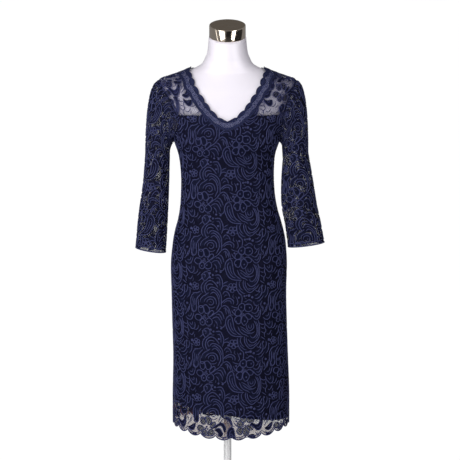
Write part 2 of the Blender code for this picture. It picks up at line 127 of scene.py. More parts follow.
NECK_BACK_INNER = [(0.080, 1.422), (0.045, 1.412), (0.0, 1.409)]

# Sleeve stations: height, inner and outer distance from the centre line, front
# and back reach.
SLEEVE_RIGHT = np.array([
    (1.190, 0.1640, 0.2330, -0.058, 0.056), (1.100, 0.1665, 0.2405, -0.055, 0.047),
    (1.000, 0.1710, 0.2545, -0.052, 0.036), (0.905, 0.1770, 0.2635, -0.049, 0.028)])
SLEEVE_LEFT = np.array([
    (1.190, 0.1590, 0.2290, -0.058, 0.056), (1.110, 0.1535, 0.2430, -0.054, 0.045),
    (1.040, 0.1545, 0.2540, -0.050, 0.036), (0.980, 0.1655, 0.2665, -0.046, 0.029),
    (0.920, 0.1735, 0.2775, -0.042, 0.022)])
CUFF_RISE = 0.014

FRONT, BACK = 1, -1
LEFT, RIGHT = 1, -1         # the wearer's, so LEFT is +X

collection = bpy.data.collections.new("cocktail_dress_looks")
bpy.context.scene.collection.children.link(collection)


# ------------------------------------------------------------- body surface
def spline(table, s):
    """Smoothly interpolated row of a table at fractional index s."""
    s = np.clip(s, 0.0, len(table) - 1.0)
    i = np.minimum(s.astype(int), len(table) - 2)
    t = (s - i)[..., None]
    a, b = table[np.maximum(i - 1, 0)], table[i]
    c, d = table[i + 1], table[np.minimum(i + 2, len(table) - 1)]
    slope_b, slope_c = (c - a) / 2, (d - b) / 2
    return (b * (1 + 2 * t) * (1 - t) ** 2 + slope_b * t * (1 - t) ** 2
            + c * t * t * (3 - 2 * t) + slope_c * t * t * (t - 1))


def surface(s, angle):
    """Lace face at level s.  Angle runs from +X through the front to -X, then the back."""
    s, angle = np.broadcast_arrays(np.asarray(s, float), np.asarray(angle, float))
    columns = np.moveaxis(spline(LEVELS, s), -1, 0)
    side_z, front_z, back_z, width, front, back, square, shift = columns
    c, w = np.cos(angle), np.sin(angle)
    swell = (np.abs(c) ** square + np.abs(w) ** square) ** (-1 / square)
    x = shift + width * c * swell
    y = -np.where(w > 0, front, back) * w * swell
    z = side_z + (front_z - back_z) / 2 * w + ((front_z + back_z) / 2 - side_z) * w * w
    return np.stack([x, y, z], -1)


def normal(s, angle):
    """Outward unit normal of the lace face."""
    e = 1e-3
    s, angle = np.asarray(s, float), np.asarray(angle, float)
    across = surface(s, angle + e) - surface(s, angle - e)
    up = surface(s + e, angle) - surface(s - e, angle)
    n = np.cross(up, across)
    return n / np.linalg.norm(n, axis=-1, keepdims=True)


# Soft folds in the cloth: face, distance from the centre line and height of the
# middle, lean from upright in degrees, length, width and depth.  A negative depth
# is a trough.
FOLDS = [
    (FRONT, -0.150, 1.262, 4, 0.090, 0.0045, 0.0032),
    (FRONT, -0.141, 1.250, 2, 0.080, 0.0040, -0.0022),
    (FRONT, -0.132, 1.240, 0, 0.070, 0.0050, 0.0020),
    (FRONT, 0.150, 1.262, -6, 0.070, 0.0050, 0.0020),
    (FRONT, 0.139, 1.250, -4, 0.060, 0.0050, -0.0018),
    (FRONT, -0.095, 1.130, 78, 0.110, 0.0080, 0.0016),
    (FRONT, 0.090, 1.110, -80, 0.100, 0.0080, 0.0016),
    (FRONT, -0.070, 1.085, 84, 0.100, 0.0080, -0.0014),
    (FRONT, 0.060, 0.990, -66, 0.130, 0.0110, 0.0016),
    (FRONT, -0.090, 0.970, 62, 0.120, 0.0110, 0.0015),
    (FRONT, -0.060, 0.600, 3, 0.420, 0.0160, 0.0030),
    (FRONT, 0.055, 0.580, -4, 0.400, 0.0180, 0.0026),
    (FRONT, 0.000, 0.560, 0, 0.360, 0.0180, -0.0020),
    (FRONT, 0.118, 0.560, -3, 0.380, 0.0130, -0.0024),
    (FRONT, -0.118, 0.570, 3, 0.380, 0.0130, -0.0022),
    (BACK, -0.120, 1.250, 5, 0.110, 0.0060, 0.0022),
    (BACK, 0.120, 1.250, -5, 0.110, 0.0060, 0.0022),
    (BACK, 0.050, 1.060, 80, 0.120, 0.0090, 0.0020),
    (BACK, -0.050, 1.075, -80, 0.120, 0.0090, 0.0020),
    (BACK, 0.010, 1.040, 88, 0.140, 0.0080, -0.0016),
    (BACK, 0.060, 0.600, -3, 0.420, 0.0170, 0.0028),
    (BACK, -0.055, 0.600, 3, 0.420, 0.0170, 0.0028),
    (BACK, 0.000, 0.580, 0, 0.400, 0.0170, -0.0022),
]


def fold(dx, dz, lean, length, width, depth):
    """Height of a fold at distances across and up from its middle."""
    turn = math.radians(lean)
    along = dx * math.sin(turn) + dz * math.cos(turn)
    across = dx * math.cos(turn) - dz * math.sin(turn)
    reach = np.clip(1 - (2 * along / length) ** 2, 0, 1) ** 2
    return depth * reach * np.exp(-(across / width) ** 2)


def relief(points, angle):
    """How far the cloth stands off the body surface at each point."""
    ahead = np.sin(angle)
    total = np.zeros(ahead.shape)
    for face, x, z, *shape in FOLDS:
        total += fold(points[..., 0] - x, points[..., 2] - z, *shape) * np.clip(4 * face * ahead, 0, 1)
    return total


def skin(s, angle, lift):
    """Cloth point at a level and angle, lifted off the lace face."""
    p, n = surface(s, angle), normal(s, angle)
    return p + n * (relief(p, np.asarray(angle)) + lift)[..., None]


def level_at(height):
    """Level index at a height below the armpit."""
    return np.interp(height, LEVELS[:ARMPIT_ROWS, 0], np.arange(ARMPIT_ROWS))


def locate(x, z, face):
    """Level and angle of the body point with this x and z on the front or back."""
    s = float(np.interp(z, LEVELS[:SHOULDER_ROWS, 0], np.arange(SHOULDER_ROWS)))
    angle = face * math.acos(max(-0.95, min(0.95, x / CHEST_HALF_WIDTH)))
    for _ in range(40):
        p = surface(s, angle)
        miss = np.array([x - p[0], z - p[2]])
        ds = (surface(s + 1e-4, angle) - p)[[0, 2]] / 1e-4
        da = (surface(s, angle + 1e-4) - p)[[0, 2]] / 1e-4
        step = np.linalg.solve(np.column_stack([ds, da]), miss)
        s += float(np.clip(step[0], -0.6, 0.6))
        angle += float(np.clip(step[1], -0.15, 0.15))
    return s, angle


def distances(points):
    """Distance run along a line of points, from its first."""
    return np.concatenate([[0], np.cumsum(np.linalg.norm(np.diff(points, axis=0), axis=1))])


def resample(path, count):
    """Points at even distances along a (level, angle) path, rounded at its corners."""
    path = np.asarray(path, float)
    rows = spline(path, np.linspace(0, len(path) - 1, 40 * (len(path) - 1) + 1))
    run = distances(surface(rows[:, 0], rows[:, 1]))
    want = np.linspace(0, run[-1], count)
    return np.column_stack([np.interp(want, run, rows[:, k]) for k in (0, 1)])


def side_angle(side, face):
    """Angle of the side seam, just on this face of it."""
    return face * (0.002 if side == LEFT else math.pi - 0.002)


def seam_to_seam(face, count):
    """Even angles from the left side seam to the right."""
    return np.linspace(side_angle(LEFT, face), side_angle(RIGHT, face), count)


def armhole(side, face):
    """Armhole edge from the armpit to the shoulder seam."""
    table = ARMHOLE_BACK
    if face == FRONT:
        table = ARMHOLE_FRONT_LEFT if side == LEFT else ARMHOLE_FRONT_RIGHT
    path = [locate(side * x, z, face) for x, z in table]
    return np.array([(ARMPIT, side_angle(side, face))] + path + [(SHOULDER, side_angle(side, face))])


def neck_edge(side, face, outer):
    """Trim edge from the shoulder seam to the centre line."""
    table = {(FRONT, True): NECK_OUTER, (FRONT, False): NECK_INNER,
             (BACK, True): NECK_BACK_OUTER, (BACK, False): NECK_BACK_INNER}[(face, outer)]
    start = (NECK_OUTER_SIDE if outer else NECK_INNER_SIDE, side_angle(side, face))
    return np.array([start] + [locate(side * x, z, face) for x, z in table])


def lace_hem(angle):
    """Level of the scalloped edge, whose lobes are round and meet at points."""
    angle = np.asarray(angle, float)
    turn = np.abs(np.sin(angle)) ** 2.5
    tip = HEM_SIDE_Z + (HEM_FRONT_Z - HEM_SIDE_Z) * turn
    phase = (np.abs(angle) / (math.pi / 2) * LOBES_PER_HALF) % 1.0
    return level_at(tip + HEM_LOBE * (1 - np.abs(np.sin(math.pi * phase)) ** 0.7))


def slip_hem(angle):
    """Level of the slip's plain, slanting hem."""
    x = surface(1.0, angle)[..., 0]
    return level_at(SLIP_HEM_Z + SLIP_HEM_SLANT * x)


# ------------------------------------------------------------------ meshing
def add_mesh(name, verts, faces, uvs, materials, index=None):
    """Object from arrays, with the flat cloth position of each corner as its UV map."""
    mesh = bpy.data.meshes.new(name)
    mesh.from_pydata(np.asarray(verts, float).tolist(), [], [tuple(map(int, f)) for f in faces])
    mesh.shade_smooth()
    if uvs is not None:
        layer = mesh.uv_layers.new(name="cloth")
        corner = np.empty(len(mesh.loops), int)
        mesh.loops.foreach_get("vertex_index", corner)
        layer.data.foreach_set("uv", np.asarray(uvs, float)[corner].ravel())
    for material in materials:
        mesh.materials.append(material)
    if index is not None:
        mesh.polygons.foreach_set("material_index", np.asarray(index, int))
    mesh.update()
    piece = bpy.data.objects.new(name, mesh)
    collection.objects.link(piece)
    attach(piece, "root")
    return piece


def grid_faces(rows, cols, wrap=False, flip=False):
    """Quads of a rows by cols grid of points."""
    r, c = np.meshgrid(np.arange(rows - 1), np.arange(cols if wrap else cols - 1), indexing="ij")
    d = (c + 1) % cols
    quads = np.stack([r * cols + c, r * cols + d, (r + 1) * cols + d, (r + 1) * cols + c], -1)
    quads = quads.reshape(-1, 4)
    return quads[:, ::-1] if flip else quads


def capped_faces(rows, around):
    """Quads of a closed tube of rings, with a face over its first and its last ring."""
    ends = [range(around - 1, -1, -1), range((rows - 1) * around, rows * around)]
    return grid_faces(rows, around, wrap=True).tolist() + [list(end) for end in ends]


# ------------------------------------------------------------ flat lace map
class Patch:
    """Grid of cloth points that knows where each one lies on the flat cloth."""

    def __init__(self, points, normals, across, down):
        self.points, self.normals = points, normals
        self.across, self.down = across, down

    def at(self, table, r, c):
        """Value of a grid table at fractional row and column."""
        rows, cols = self.across.shape
        i = np.clip(np.floor(r).astype(int), 0, rows - 2)
        j = np.clip(np.floor(c).astype(int), 0, cols - 2)
        a, b = r - i, c - j
        if table.ndim == 3:
            a, b = a[:, None], b[:, None]
        return (table[i, j] * (1 - a) * (1 - b) + table[i + 1, j] * a * (1 - b)
                + table[i, j + 1] * (1 - a) * b + table[i + 1, j + 1] * a * b)

    def find(self, u, v):
        """Row and column of flat cloth positions, and whether each is on the grid."""
        rows, cols = self.across.shape
        r = np.full(u.shape, rows / 2.0)
        c = np.full(u.shape, cols / 2.0)
        across_r, across_c = np.gradient(self.across)
        down_r, down_c = np.gradient(self.down)
        for _ in range(24):
            miss_u = u - self.at(self.across, r, c)
            miss_v = v - self.at(self.down, r, c)
            a, b = self.at(across_r, r, c), self.at(across_c, r, c)
            d, e = self.at(down_r, r, c), self.at(down_c, r, c)
            det = a * e - b * d
            step_r = (miss_u * e - miss_v * b) / det
            step_c = (miss_v * a - miss_u * d) / det
            r = np.clip(r + np.clip(step_r, -rows / 6, rows / 6), 0, rows - 1.001)
            c = np.clip(c + np.clip(step_c, -cols / 6, cols / 6), 0, cols - 1.001)
        found = np.hypot(u - self.at(self.across, r, c), v - self.at(self.down, r, c)) < 0.004
        return r, c, found

    def place(self, r, c, lift):
        """Points at fractional rows and columns, lifted along the normals."""
        p, n = self.at(self.points, r, c), self.at(self.normals, r, c)
        n = n / np.linalg.norm(n, axis=-1, keepdims=True)
        return p + n * lift[:, None]


def run_lengths(points, axis, start):
    """Arc length along one axis of a grid of points, zero at index start."""
    step = np.linalg.norm(np.diff(points, axis=axis), axis=-1)
    pad = [(0, 0), (0, 0)]
    pad[axis] = (1, 0)
    run = np.pad(np.cumsum(step, axis=axis), pad)
    return run - np.take(run, [start], axis=axis)


BODY_STEP = 0.125           # levels between rows of the body patches
BODY_COLS = 129
BODY_SPAN = math.pi + 0.24  # a little past both side seams


def body_patch(face):
    """Flat map of the front or back, measured from its centre line and the waist."""
    levels = np.arange(0, BARE_NECK + BODY_STEP, BODY_STEP)
    angles = face * (math.pi / 2 + np.linspace(0.5, -0.5, BODY_COLS) * BODY_SPAN)
    s, a = np.meshgrid(levels, angles, indexing="ij")
    smooth = surface(s, a)
    across = run_lengths(smooth, 1, BODY_COLS // 2)
    down = -run_lengths(smooth, 0, int(WAIST / BODY_STEP))
    return Patch(skin(s, a, 0.0), normal(s, a), across, down)


def body_index(path, face):
    """Patch row and column of (level, angle) points."""
    path = np.asarray(path, float)
    turn = (path[:, 1] * face - math.pi / 2) / BODY_SPAN
    return np.column_stack([path[:, 0] / BODY_STEP, (0.5 - turn) * (BODY_COLS - 1)])


patches = {face: body_patch(face) for face in (FRONT, BACK)}


# ------------------------------------------------------------ dress panels
SKIRT_EVEN_Z = 0.480        # the hem's shape fades out up to this height


def half_panel(side, face, hem, top_side, top_neck, steps, cols):
    """One half of a front or back, as (level, angle) rows from the side edge to the centre.

    Rows run from the hem to the armpit, and then from the armhole to the centre line and
    the neck edge.
    """
    centre = face * math.pi / 2
    edge_angle = side_angle(side, face)
    low = level_at(SKIRT_EVEN_Z)
    body = np.concatenate([np.linspace(0, 1, 9)[:-1], np.linspace(1, 2, 64)])
    spread = np.linspace(0, 1, cols)
    angles = edge_angle + (centre - edge_angle) * spread
    rows = []
    for f in body:
        if f < 1:
            levels = hem(angles) * (1 - f) + low * f
        else:
            levels = np.full(cols, low + (ARMPIT - low) * (f - 1))
        rows.append(np.column_stack([levels, angles]))
    edge = resample(top_side, steps + 1)[1:]
    stem_steps = max(2, steps // 5)
    stem = np.linspace((ARMPIT, centre), top_neck[-1], stem_steps + 1)[1:]
    neck = resample(top_neck[::-1], steps - stem_steps + 1)[1:]
    for a, b in zip(edge, np.vstack([stem, neck])):
        rows.append(a + (b - a) * spread[:, None])
    return np.array(rows)


def cut_at(path, height):
    """Part of a path that lies no higher than this."""
    fine = resample(path, 300)
    return fine[surface(fine[:, 0], fine[:, 1])[:, 2] <= height]


def panel(name, face, halves, depth, material):
    """Sheet of a front or back from its two half grids, welded on the centre line."""
    verts, faces, uvs = [], [], []
    patch = patches[face]
    for side, grid in halves.items():
        rows, cols = grid.shape[:2]
        flat = grid.reshape(-1, 2)
        quads = grid_faces(rows, cols, flip=side * face > 0)
        faces.append(quads + sum(map(len, verts)))
        verts.append(skin(flat[:, 0], flat[:, 1], -depth))
        index = body_index(flat, face).T
        uvs.append(np.column_stack([patch.at(patch.across, *index), patch.at(patch.down, *index)]))
    piece = add_mesh(name, np.vstack(verts), np.vstack(faces), np.vstack(uvs), [material])
    join = piece.modifiers.new("centre", "WELD")
    join.merge_threshold = 0.00005
    return piece


# --------------------------------------------------------------- lace chart
# One repeat of the lace in millimetres of flat cloth, from the middle of its first
# flower, across to the wearer's left and down.  A stroke is a width and its points.
REPEAT_ACROSS = 226.0
REPEAT_DOWN = 158.0
# Petals of the two large flowers, each a closed loop.
PETALS = [
    [(-1, 4), (5, 7), (9, 12), (11, 18), (8, 25), (0, 32), (-6, 25), (-8, 17), (-5, 7)],
    [(-8, 8), (-9, 16), (-11, 25), (-17, 27), (-23, 22), (-26, 15), (-22, 8), (-15, 5)],
    [(3, 2), (10, -1), (17, 2), (22, 7), (20, 14), (12, 15), (7, 10)],
    [(-15, -16), (-14, -23), (-9, -28), (-4, -30), (1, -28), (3, -22), (2, -14), (-3, -8), (-12, -11)],
    [(4, -25), (10, -26), (16, -27), (21, -25), (25, -17), (22, -9), (14, -6), (6, -8), (3, -14)],
    [(-24, 2), (-24, -6), (-19, -12), (-15, -15), (-11, -10), (-7, -5), (-10, 2), (-17, 5)],
    [(-134, 3), (-139, 9), (-138, 15), (-129, 20), (-122, 16), (-119, 10), (-123, 4)],
    [(-124, 21), (-124, 28), (-119, 32), (-114, 32), (-110, 27), (-110, 20), (-113, 15), (-118, 14)],
    [(-109, 21), (-107, 29), (-102, 32), (-95, 31), (-90, 27), (-89, 20), (-92, 14), (-99, 11)],
    [(-128, -8), (-128, -19), (-120, -22), (-115, -19), (-113, -12), (-114, -4), (-119, 0), (-125, -2)],
    [(-112, -14), (-114, -21), (-109, -25), (-103, -24), (-96, -14), (-97, -6), (-103, -1), (-109, -3)],
    [(-98, 8), (-101, 4), (-98, -2), (-92, -9), (-87, -10), (-84, -5), (-87, 0), (-93, 6)],
]
LOOP = [(-114, 45), (-106, 40), (-100, 41), (-96, 48), (-97, 55), (-104, 63), (-109, 66), (-113, 63),
        (-117, 52)]
# Small flowers: middle, first direction, petals, inner and outer reach, petal width.
FLOWERS = [((-31, 84), 20, 5, 3.0, 13.0, 10.5), ((-137, 82), 40, 5, 2.5, 11.0, 9.0),
           ((-5, 0), 10, 3, 1.5, 6.0, 5.0), ((-111, 9), 40, 3, 1.5, 6.0, 5.0)]
STROKES = [
    # arches from the second flower
    (3.4, [(-99, 11), (-92, 6), (-84, 0), (-76, -5), (-70, -11), (-62, -21)]),
    (3.4, [(-70, -8), (-64, -7), (-60, -2), (-57, 5), (-55, 13)]),
    (3.2, [(-78, 2), (-71, 0), (-66, 4), (-63, 11), (-61, 18)]),
    (3.4, [(-89, 14), (-84, 10), (-78, 8), (-72, 9), (-68, 15), (-65, 21), (-64, 29)]),
    (3.2, [(-83, 17), (-80, 20), (-76, 25), (-75, 33)]),
    (3.0, [(-83, 28), (-84, 36)]),
    (3.0, [(-69, 33), (-62, 37), (-56, 34), (-54, 27)]),
    # loop and feathers below it
    (3.0, [(-106, 47), (-107, 52), (-109, 57)]),
    (3.2, [(-127, 67), (-122, 63), (-117, 58), (-118, 47)]),
    (3.4, [(-81, 50), (-74, 48), (-67, 49), (-63, 55), (-59, 65), (-58, 76), (-60, 84), (-63, 92)]),
    (3.0, [(-76, 58), (-71, 56), (-67, 61), (-66, 70), (-66, 80)]),
    (3.4, [(-109, 66), (-114, 72), (-118, 78), (-119, 86), (-118, 93), (-114, 100)]),
    (3.4, [(-104, 102), (-108, 96), (-110, 88), (-109, 80), (-106, 73), (-100, 67), (-93, 64),
           (-86, 66), (-80, 71), (-75, 77), (-71, 84)]),
    (3.2, [(-99, 93), (-103, 87), (-103, 80), (-98, 75), (-91, 74), (-84, 77)]),
    (3.4, [(-98, 92), (-96, 87), (-91, 83), (-85, 83), (-77, 86), (-70, 91), (-65, 98), (-62, 108),
           (-62, 122), (-62, 137)]),
    (3.2, [(-92, 92), (-86, 89), (-79, 92), (-73, 98), (-68, 106), (-66, 116)]),
    (3.4, [(-93, 103), (-88, 98), (-82, 97), (-76, 102), (-72, 109), (-69, 119), (-69, 130),
           (-73, 139), (-77, 147)]),
    (3.4, [(-102, 112), (-95, 110), (-87, 110), (-81, 113), (-77, 120), (-76, 131)]),
    (3.2, [(-103, 127), (-102, 121), (-97, 117), (-90, 116), (-85, 120), (-84, 127), (-88, 132),
           (-94, 133), (-98, 129)]),
    (3.0, [(-93, 122), (-90, 126)]),
    (3.0, [(-103, 134), (-99, 139), (-92, 141), (-85, 140), (-80, 136)]),
    # left fans and second paisley
    (3.2, [(-123, 127), (-122, 120), (-118, 113), (-112, 108), (-105, 104), (-96, 97)]),
    (3.0, [(-111, 125), (-109, 119), (-104, 114), (-99, 111)]),
    (3.6, [(-135, 136), (-134, 122), (-131, 115), (-125, 108), (-118, 101)]),
    (3.4, [(-145, 101), (-139, 101), (-130, 100), (-121, 95)]),
    (3.4, [(-137, 101), (-145, 105), (-150, 113), (-152, 123), (-151, 136), (-147, 148), (-141, 154),
           (-136, 150), (-134, 143), (-134, 134)]),
    (3.0, [(-144, 112), (-145, 120), (-144, 128), (-145, 135), (-145, 143)]),
    (3.0, [(-139, 116), (-139, 126), (-139, 136)]),
    (3.4, [(-157, 87), (-152, 89), (-147, 92)]),
    (3.0, [(-128, 117), (-128, 127), (-127, 137), (-122, 142), (-116, 139), (-115, 133)]),
    (3.0, [(-129, 33), (-131, 41), (-137, 46), (-144, 46)]),
    (3.0, [(-131, 52), (-126, 47), (-121, 41)]),
    (3.0, [(-92, 36), (-97, 36), (-103, 36)]),
    (3.0, [(-83, 58), (-88, 59), (-92, 58)]),
    # paisley beside the first flower
    (3.4, [(-29, 3), (-35, 2), (-41, 4), (-47, 9), (-51, 17), (-52, 26), (-49, 38), (-44, 50), (-35, 59),
           (-26, 62), (-15, 63), (-4, 63)]),
    (3.4, [(-39, 4), (-34, 8), (-32, 15), (-30, 26), (-28, 38), (-24, 47), (-16, 55), (-8, 60)]),
    (3.2, [(-37, 14), (-42, 15), (-45, 23), (-43, 34), (-38, 45), (-31, 53), (-22, 57)]),
    (3.0, [(-38, 22), (-37, 32), (-34, 41), (-29, 48)]),
    # nest of arcs below the first flower
    (3.2, [(-18, 34), (-15, 41), (-12, 48), (-4, 56), (4, 59), (12, 65)]),
    (3.2, [(-9, 41), (-3, 46), (6, 53), (15, 55), (24, 54), (30, 50)]),
    (3.0, [(-12, 34), (-4, 38), (3, 43), (10, 50), (18, 53)]),
    (3.2, [(6, 30), (7, 38), (10, 45), (15, 48), (21, 46), (26, 42), (28, 35), (25, 27)]),
    (3.0, [(12, 31), (13, 38), (17, 41), (21, 38), (21, 31)]),
    (3.4, [(28, 20), (34, 30), (37, 40), (37, 53), (33, 62), (26, 68), (20, 67), (17, 61)]),
    (3.0, [(33, 22), (39, 32), (41, 44), (41, 56), (37, 65), (31, 71)]),
    (3.6, [(41, 19), (44, 31), (45, 45), (44, 60), (39, 72), (31, 79), (21, 82), (14, 77), (10, 71)]),
    (3.2, [(13, 86), (20, 89), (28, 88), (36, 81)]),
    (3.2, [(1, 63), (-1, 71), (1, 82), (7, 92), (14, 98), (22, 98), (30, 92), (38, 86), (45, 77)]),
    (3.2, [(5, 66), (5, 74), (8, 83), (14, 91), (20, 93)]),
    (3.2, [(-8, 64), (-12, 71), (-11, 79), (-7, 87), (-1, 92)]),
    (3.4, [(-20, 66), (-20, 77), (-18, 89), (-12, 100), (-5, 107), (-4, 118), (-6, 128)]),
    (3.0, [(-14, 86), (-9, 93), (-2, 99), (5, 101)]),
    # hooks between the flowers, further down
    (3.4, [(-56, 73), (-50, 69), (-43, 66)]),
    (3.4, [(-60, 83), (-55, 79), (-48, 78), (-43, 81), (-42, 88)]),
    (3.4, [(-58, 103), (-55, 97), (-50, 94), (-44, 97), (-40, 103), (-38, 110)]),
    (3.0, [(-54, 109), (-50, 104), (-45, 105)]),
    (3.6, [(-63, 129), (-56, 121), (-49, 116), (-41, 113), (-33, 116), (-28, 122), (-29, 131)]),
    (3.2, [(-56, 127), (-50, 122), (-43, 120), (-36, 122), (-35, 129)]),
    (3.4, [(-62, 138), (-56, 134), (-50, 134), (-43, 140), (-39, 149), (-36, 160)]),
    (3.0, [(-57, 143), (-52, 140), (-47, 145), (-44, 153)]),
    (3.4, [(-34, -12), (-30, -4), (-22, 5)]),
    (3.2, [(-43, -14), (-42, -4), (-41, 2)]),
    (3.0, [(-52, -20), (-50, -8), (-48, 0)]),
    (3.0, [(-36, 134), (-29, 138), (-22, 140), (-14, 141)]),
    (3.0, [(-22, 108), (-18, 116), (-16, 126), (-20, 133)]),
    (3.0, [(-28, 102), (-30, 110), (-25, 114)]),
    # hooks and arches right of the first flower
    (3.4, [(12, -3), (18, 2), (25, 8), (30, 14), (37, 17), (44, 13), (48, 4), (50, -12)]),
    (3.2, [(21, -6), (26, -2), (32, 0), (38, -3), (42, -11), (44, -21)]),
    (3.0, [(38, -23), (37, -17), (33, -12), (29, -10)]),
    (3.2, [(31, 6), (38, 9), (43, 4), (45, -4)]),
    (3.4, [(43, 26), (49, 31), (56, 33), (62, 31)]),
    (3.2, [(48, 40), (54, 44), (60, 44)]),
    (3.2, [(49, 51), (55, 56), (61, 59)]),
    (3.2, [(47, 66), (54, 71), (61, 76)]),
    (3.4, [(34, 92), (40, 97), (45, 92), (48, 84)]),
    (3.6, [(51, 82), (54, 93), (53, 102), (48, 111), (40, 116), (32, 116)]),
    (3.0, [(31, 106), (38, 107), (43, 102)]),
    (3.4, [(0, 123), (6, 124), (13, 119), (20, 120), (25, 126)]),
    (3.2, [(29, 124), (31, 133), (38, 137), (45, 133)]),
    (3.0, [(4, 113), (9, 117)]),
    (3.0, [(6, 132), (12, 130), (18, 132)]),
    (3.0, [(39, 124), (46, 123), (52, 117), (58, 110)]),
    # right edge of the repeat
    (3.4, [(54, 6), (60, -1), (64, -9), (68, -18)]),
    (3.2, [(55, -20), (57, -12), (55, -4)]),
    (3.2, [(76, -13), (78, -6), (83, -3), (88, -8)]),
    (3.4, [(56, 12), (62, 18), (70, 20), (77, 16), (80, 8), (83, -1)]),
    (3.0, [(64, 8), (69, 11), (74, 7), (75, 0)]),
    (3.4, [(60, 22), (62, 31), (69, 39), (76, 45), (83, 43), (86, 35), (85, 26)]),
    (3.0, [(69, 28), (74, 34), (78, 31), (77, 25)]),
    (3.4, [(62, 33), (61, 43), (65, 52), (59, 59), (61, 70)]),
    (3.2, [(67, 59), (73, 63), (79, 58), (82, 52)]),
    (3.0, [(84, 60), (82, 68)]),
    (3.2, [(52, 103), (60, 100), (65, 89), (63, 80)]),
    (3.2, [(71, 88), (73, 98), (70, 108), (63, 116)]),
    (3.2, [(70, 134), (69, 146), (64, 157)]),
    (3.0, [(55, 124), (50, 132), (52, 142), (58, 146)]),
    (3.0, [(40, 144), (44, 151), (51, 153)]),
]
# Closed leaves of clothwork under the strokes.
LEAVES = [
    [(-99, 11), (-84, 0), (-70, -10), (-60, -3), (-55, 13), (-60, 20), (-66, 5), (-72, 1), (-84, 8)],
    [(-89, 14), (-78, 8), (-68, 14), (-64, 29), (-75, 33), (-80, 20)],
    [(-41, 4), (-34, 8), (-30, 26), (-28, 38), (-22, 50), (-8, 60), (-15, 63), (-30, 61), (-44, 50),
     (-52, 26), (-49, 12)],
    [(-14, 36), (0, 42), (12, 51), (24, 54), (17, 64), (4, 59), (-6, 54), (-13, 46)],
    [(6, 31), (15, 26), (27, 28), (28, 38), (22, 46), (14, 48), (8, 41)],
    [(28, 20), (41, 19), (45, 35), (45, 52), (41, 68), (31, 79), (20, 82), (11, 73), (17, 62), (30, 66),
     (37, 53), (36, 34)],
    [(1, 63), (6, 66), (8, 82), (16, 91), (36, 81), (32, 91), (22, 98), (12, 97), (3, 86), (-1, 72)],
    [(-20, 66), (-10, 64), (-11, 79), (-3, 91), (4, 100), (-5, 107), (-14, 98), (-19, 84)],
    [(-81, 50), (-67, 49), (-60, 62), (-58, 76), (-63, 92), (-70, 82), (-68, 66), (-76, 58)],
    [(-118, 78), (-109, 66), (-97, 66), (-104, 76), (-104, 88), (-99, 93), (-104, 102), (-114, 100),
     (-119, 88)],
    [(-98, 92), (-90, 83), (-78, 86), (-66, 95), (-62, 110), (-62, 137), (-69, 130), (-70, 114),
     (-78, 100), (-90, 99)],
    [(-102, 112), (-87, 110), (-77, 118), (-76, 131), (-84, 127), (-88, 117), (-97, 117), (-103, 127)],
    [(-137, 101), (-146, 105), (-152, 120), (-151, 138), (-141, 154), (-134, 145), (-134, 120),
     (-128, 108), (-118, 101), (-128, 98)],
    [(-123, 127), (-120, 115), (-110, 106), (-96, 97), (-98, 110), (-108, 117), (-112, 128)],
    [(-63, 129), (-50, 116), (-40, 113), (-30, 118), (-28, 130), (-36, 128), (-44, 120)],
    [(-62, 138), (-50, 134), (-42, 141), (-36, 160), (-44, 153), (-50, 142)],
    [(-58, 103), (-50, 94), (-41, 101), (-38, 110), (-46, 106)],
    [(-60, 83), (-53, 71), (-43, 66), (-42, 86), (-48, 79)],
    [(12, -3), (24, 7), (37, 17), (46, 11), (50, -12), (44, -21), (40, -6), (32, 0), (21, -6)],
    [(31, 106), (44, 102), (48, 84), (54, 93), (52, 104), (44, 115), (32, 116)],
    [(56, 12), (64, 8), (75, 0), (83, -1), (80, 10), (70, 20), (60, 18)],
    [(60, 22), (69, 28), (85, 26), (85, 40), (76, 45), (64, 34)],
    [(52, 103), (61, 99), (63, 80), (71, 88), (72, 102), (63, 116)],
    [(-116, 57), (-117, 50), (-110, 41), (-100, 41), (-96, 52), (-101, 60), (-109, 66)],
    [(0, 123), (13, 119), (24, 125), (14, 131)],
    [(29, 124), (52, 117), (50, 132), (38, 137)],
]
DOTS = [(-64, 40, 3.0), (-76, 38, 3.0), (-94, 44, 3.5), (-86, 49, 3.0), (-94, 55, 3.0), (-72, 70, 3.2),
        (-26, 146, 3.0), (46, 98, 3.0), (25, 112, 3.5), (16, 107, 4.0), (9, 107, 2.5), (-13, 112, 3.0),
        (3, 108, 3.0), (55, 82, 3.0), (74, 78, 4.0), (-46, 88, 3.0), (62, 132, 3.5), (-110, 48, 2.6),
        (-22, 20, 2.4), (17, -17, 2.4), (-7, -19, 2.4), (2, 20, 2.4), (-103, 22, 2.4), (-118, 24, 2.4)]

# Finishes, as places in a lace piece's list of materials.
CLOTHWORK, CORDING, SHEER = 0, 1, 2
CORD_SHARE = 0.76           # width of a cord next to its charted width
CORD_PROFILE = [(-1, -0.5), (-0.5, 0.7), (0.5, 0.7), (1, -0.5)]


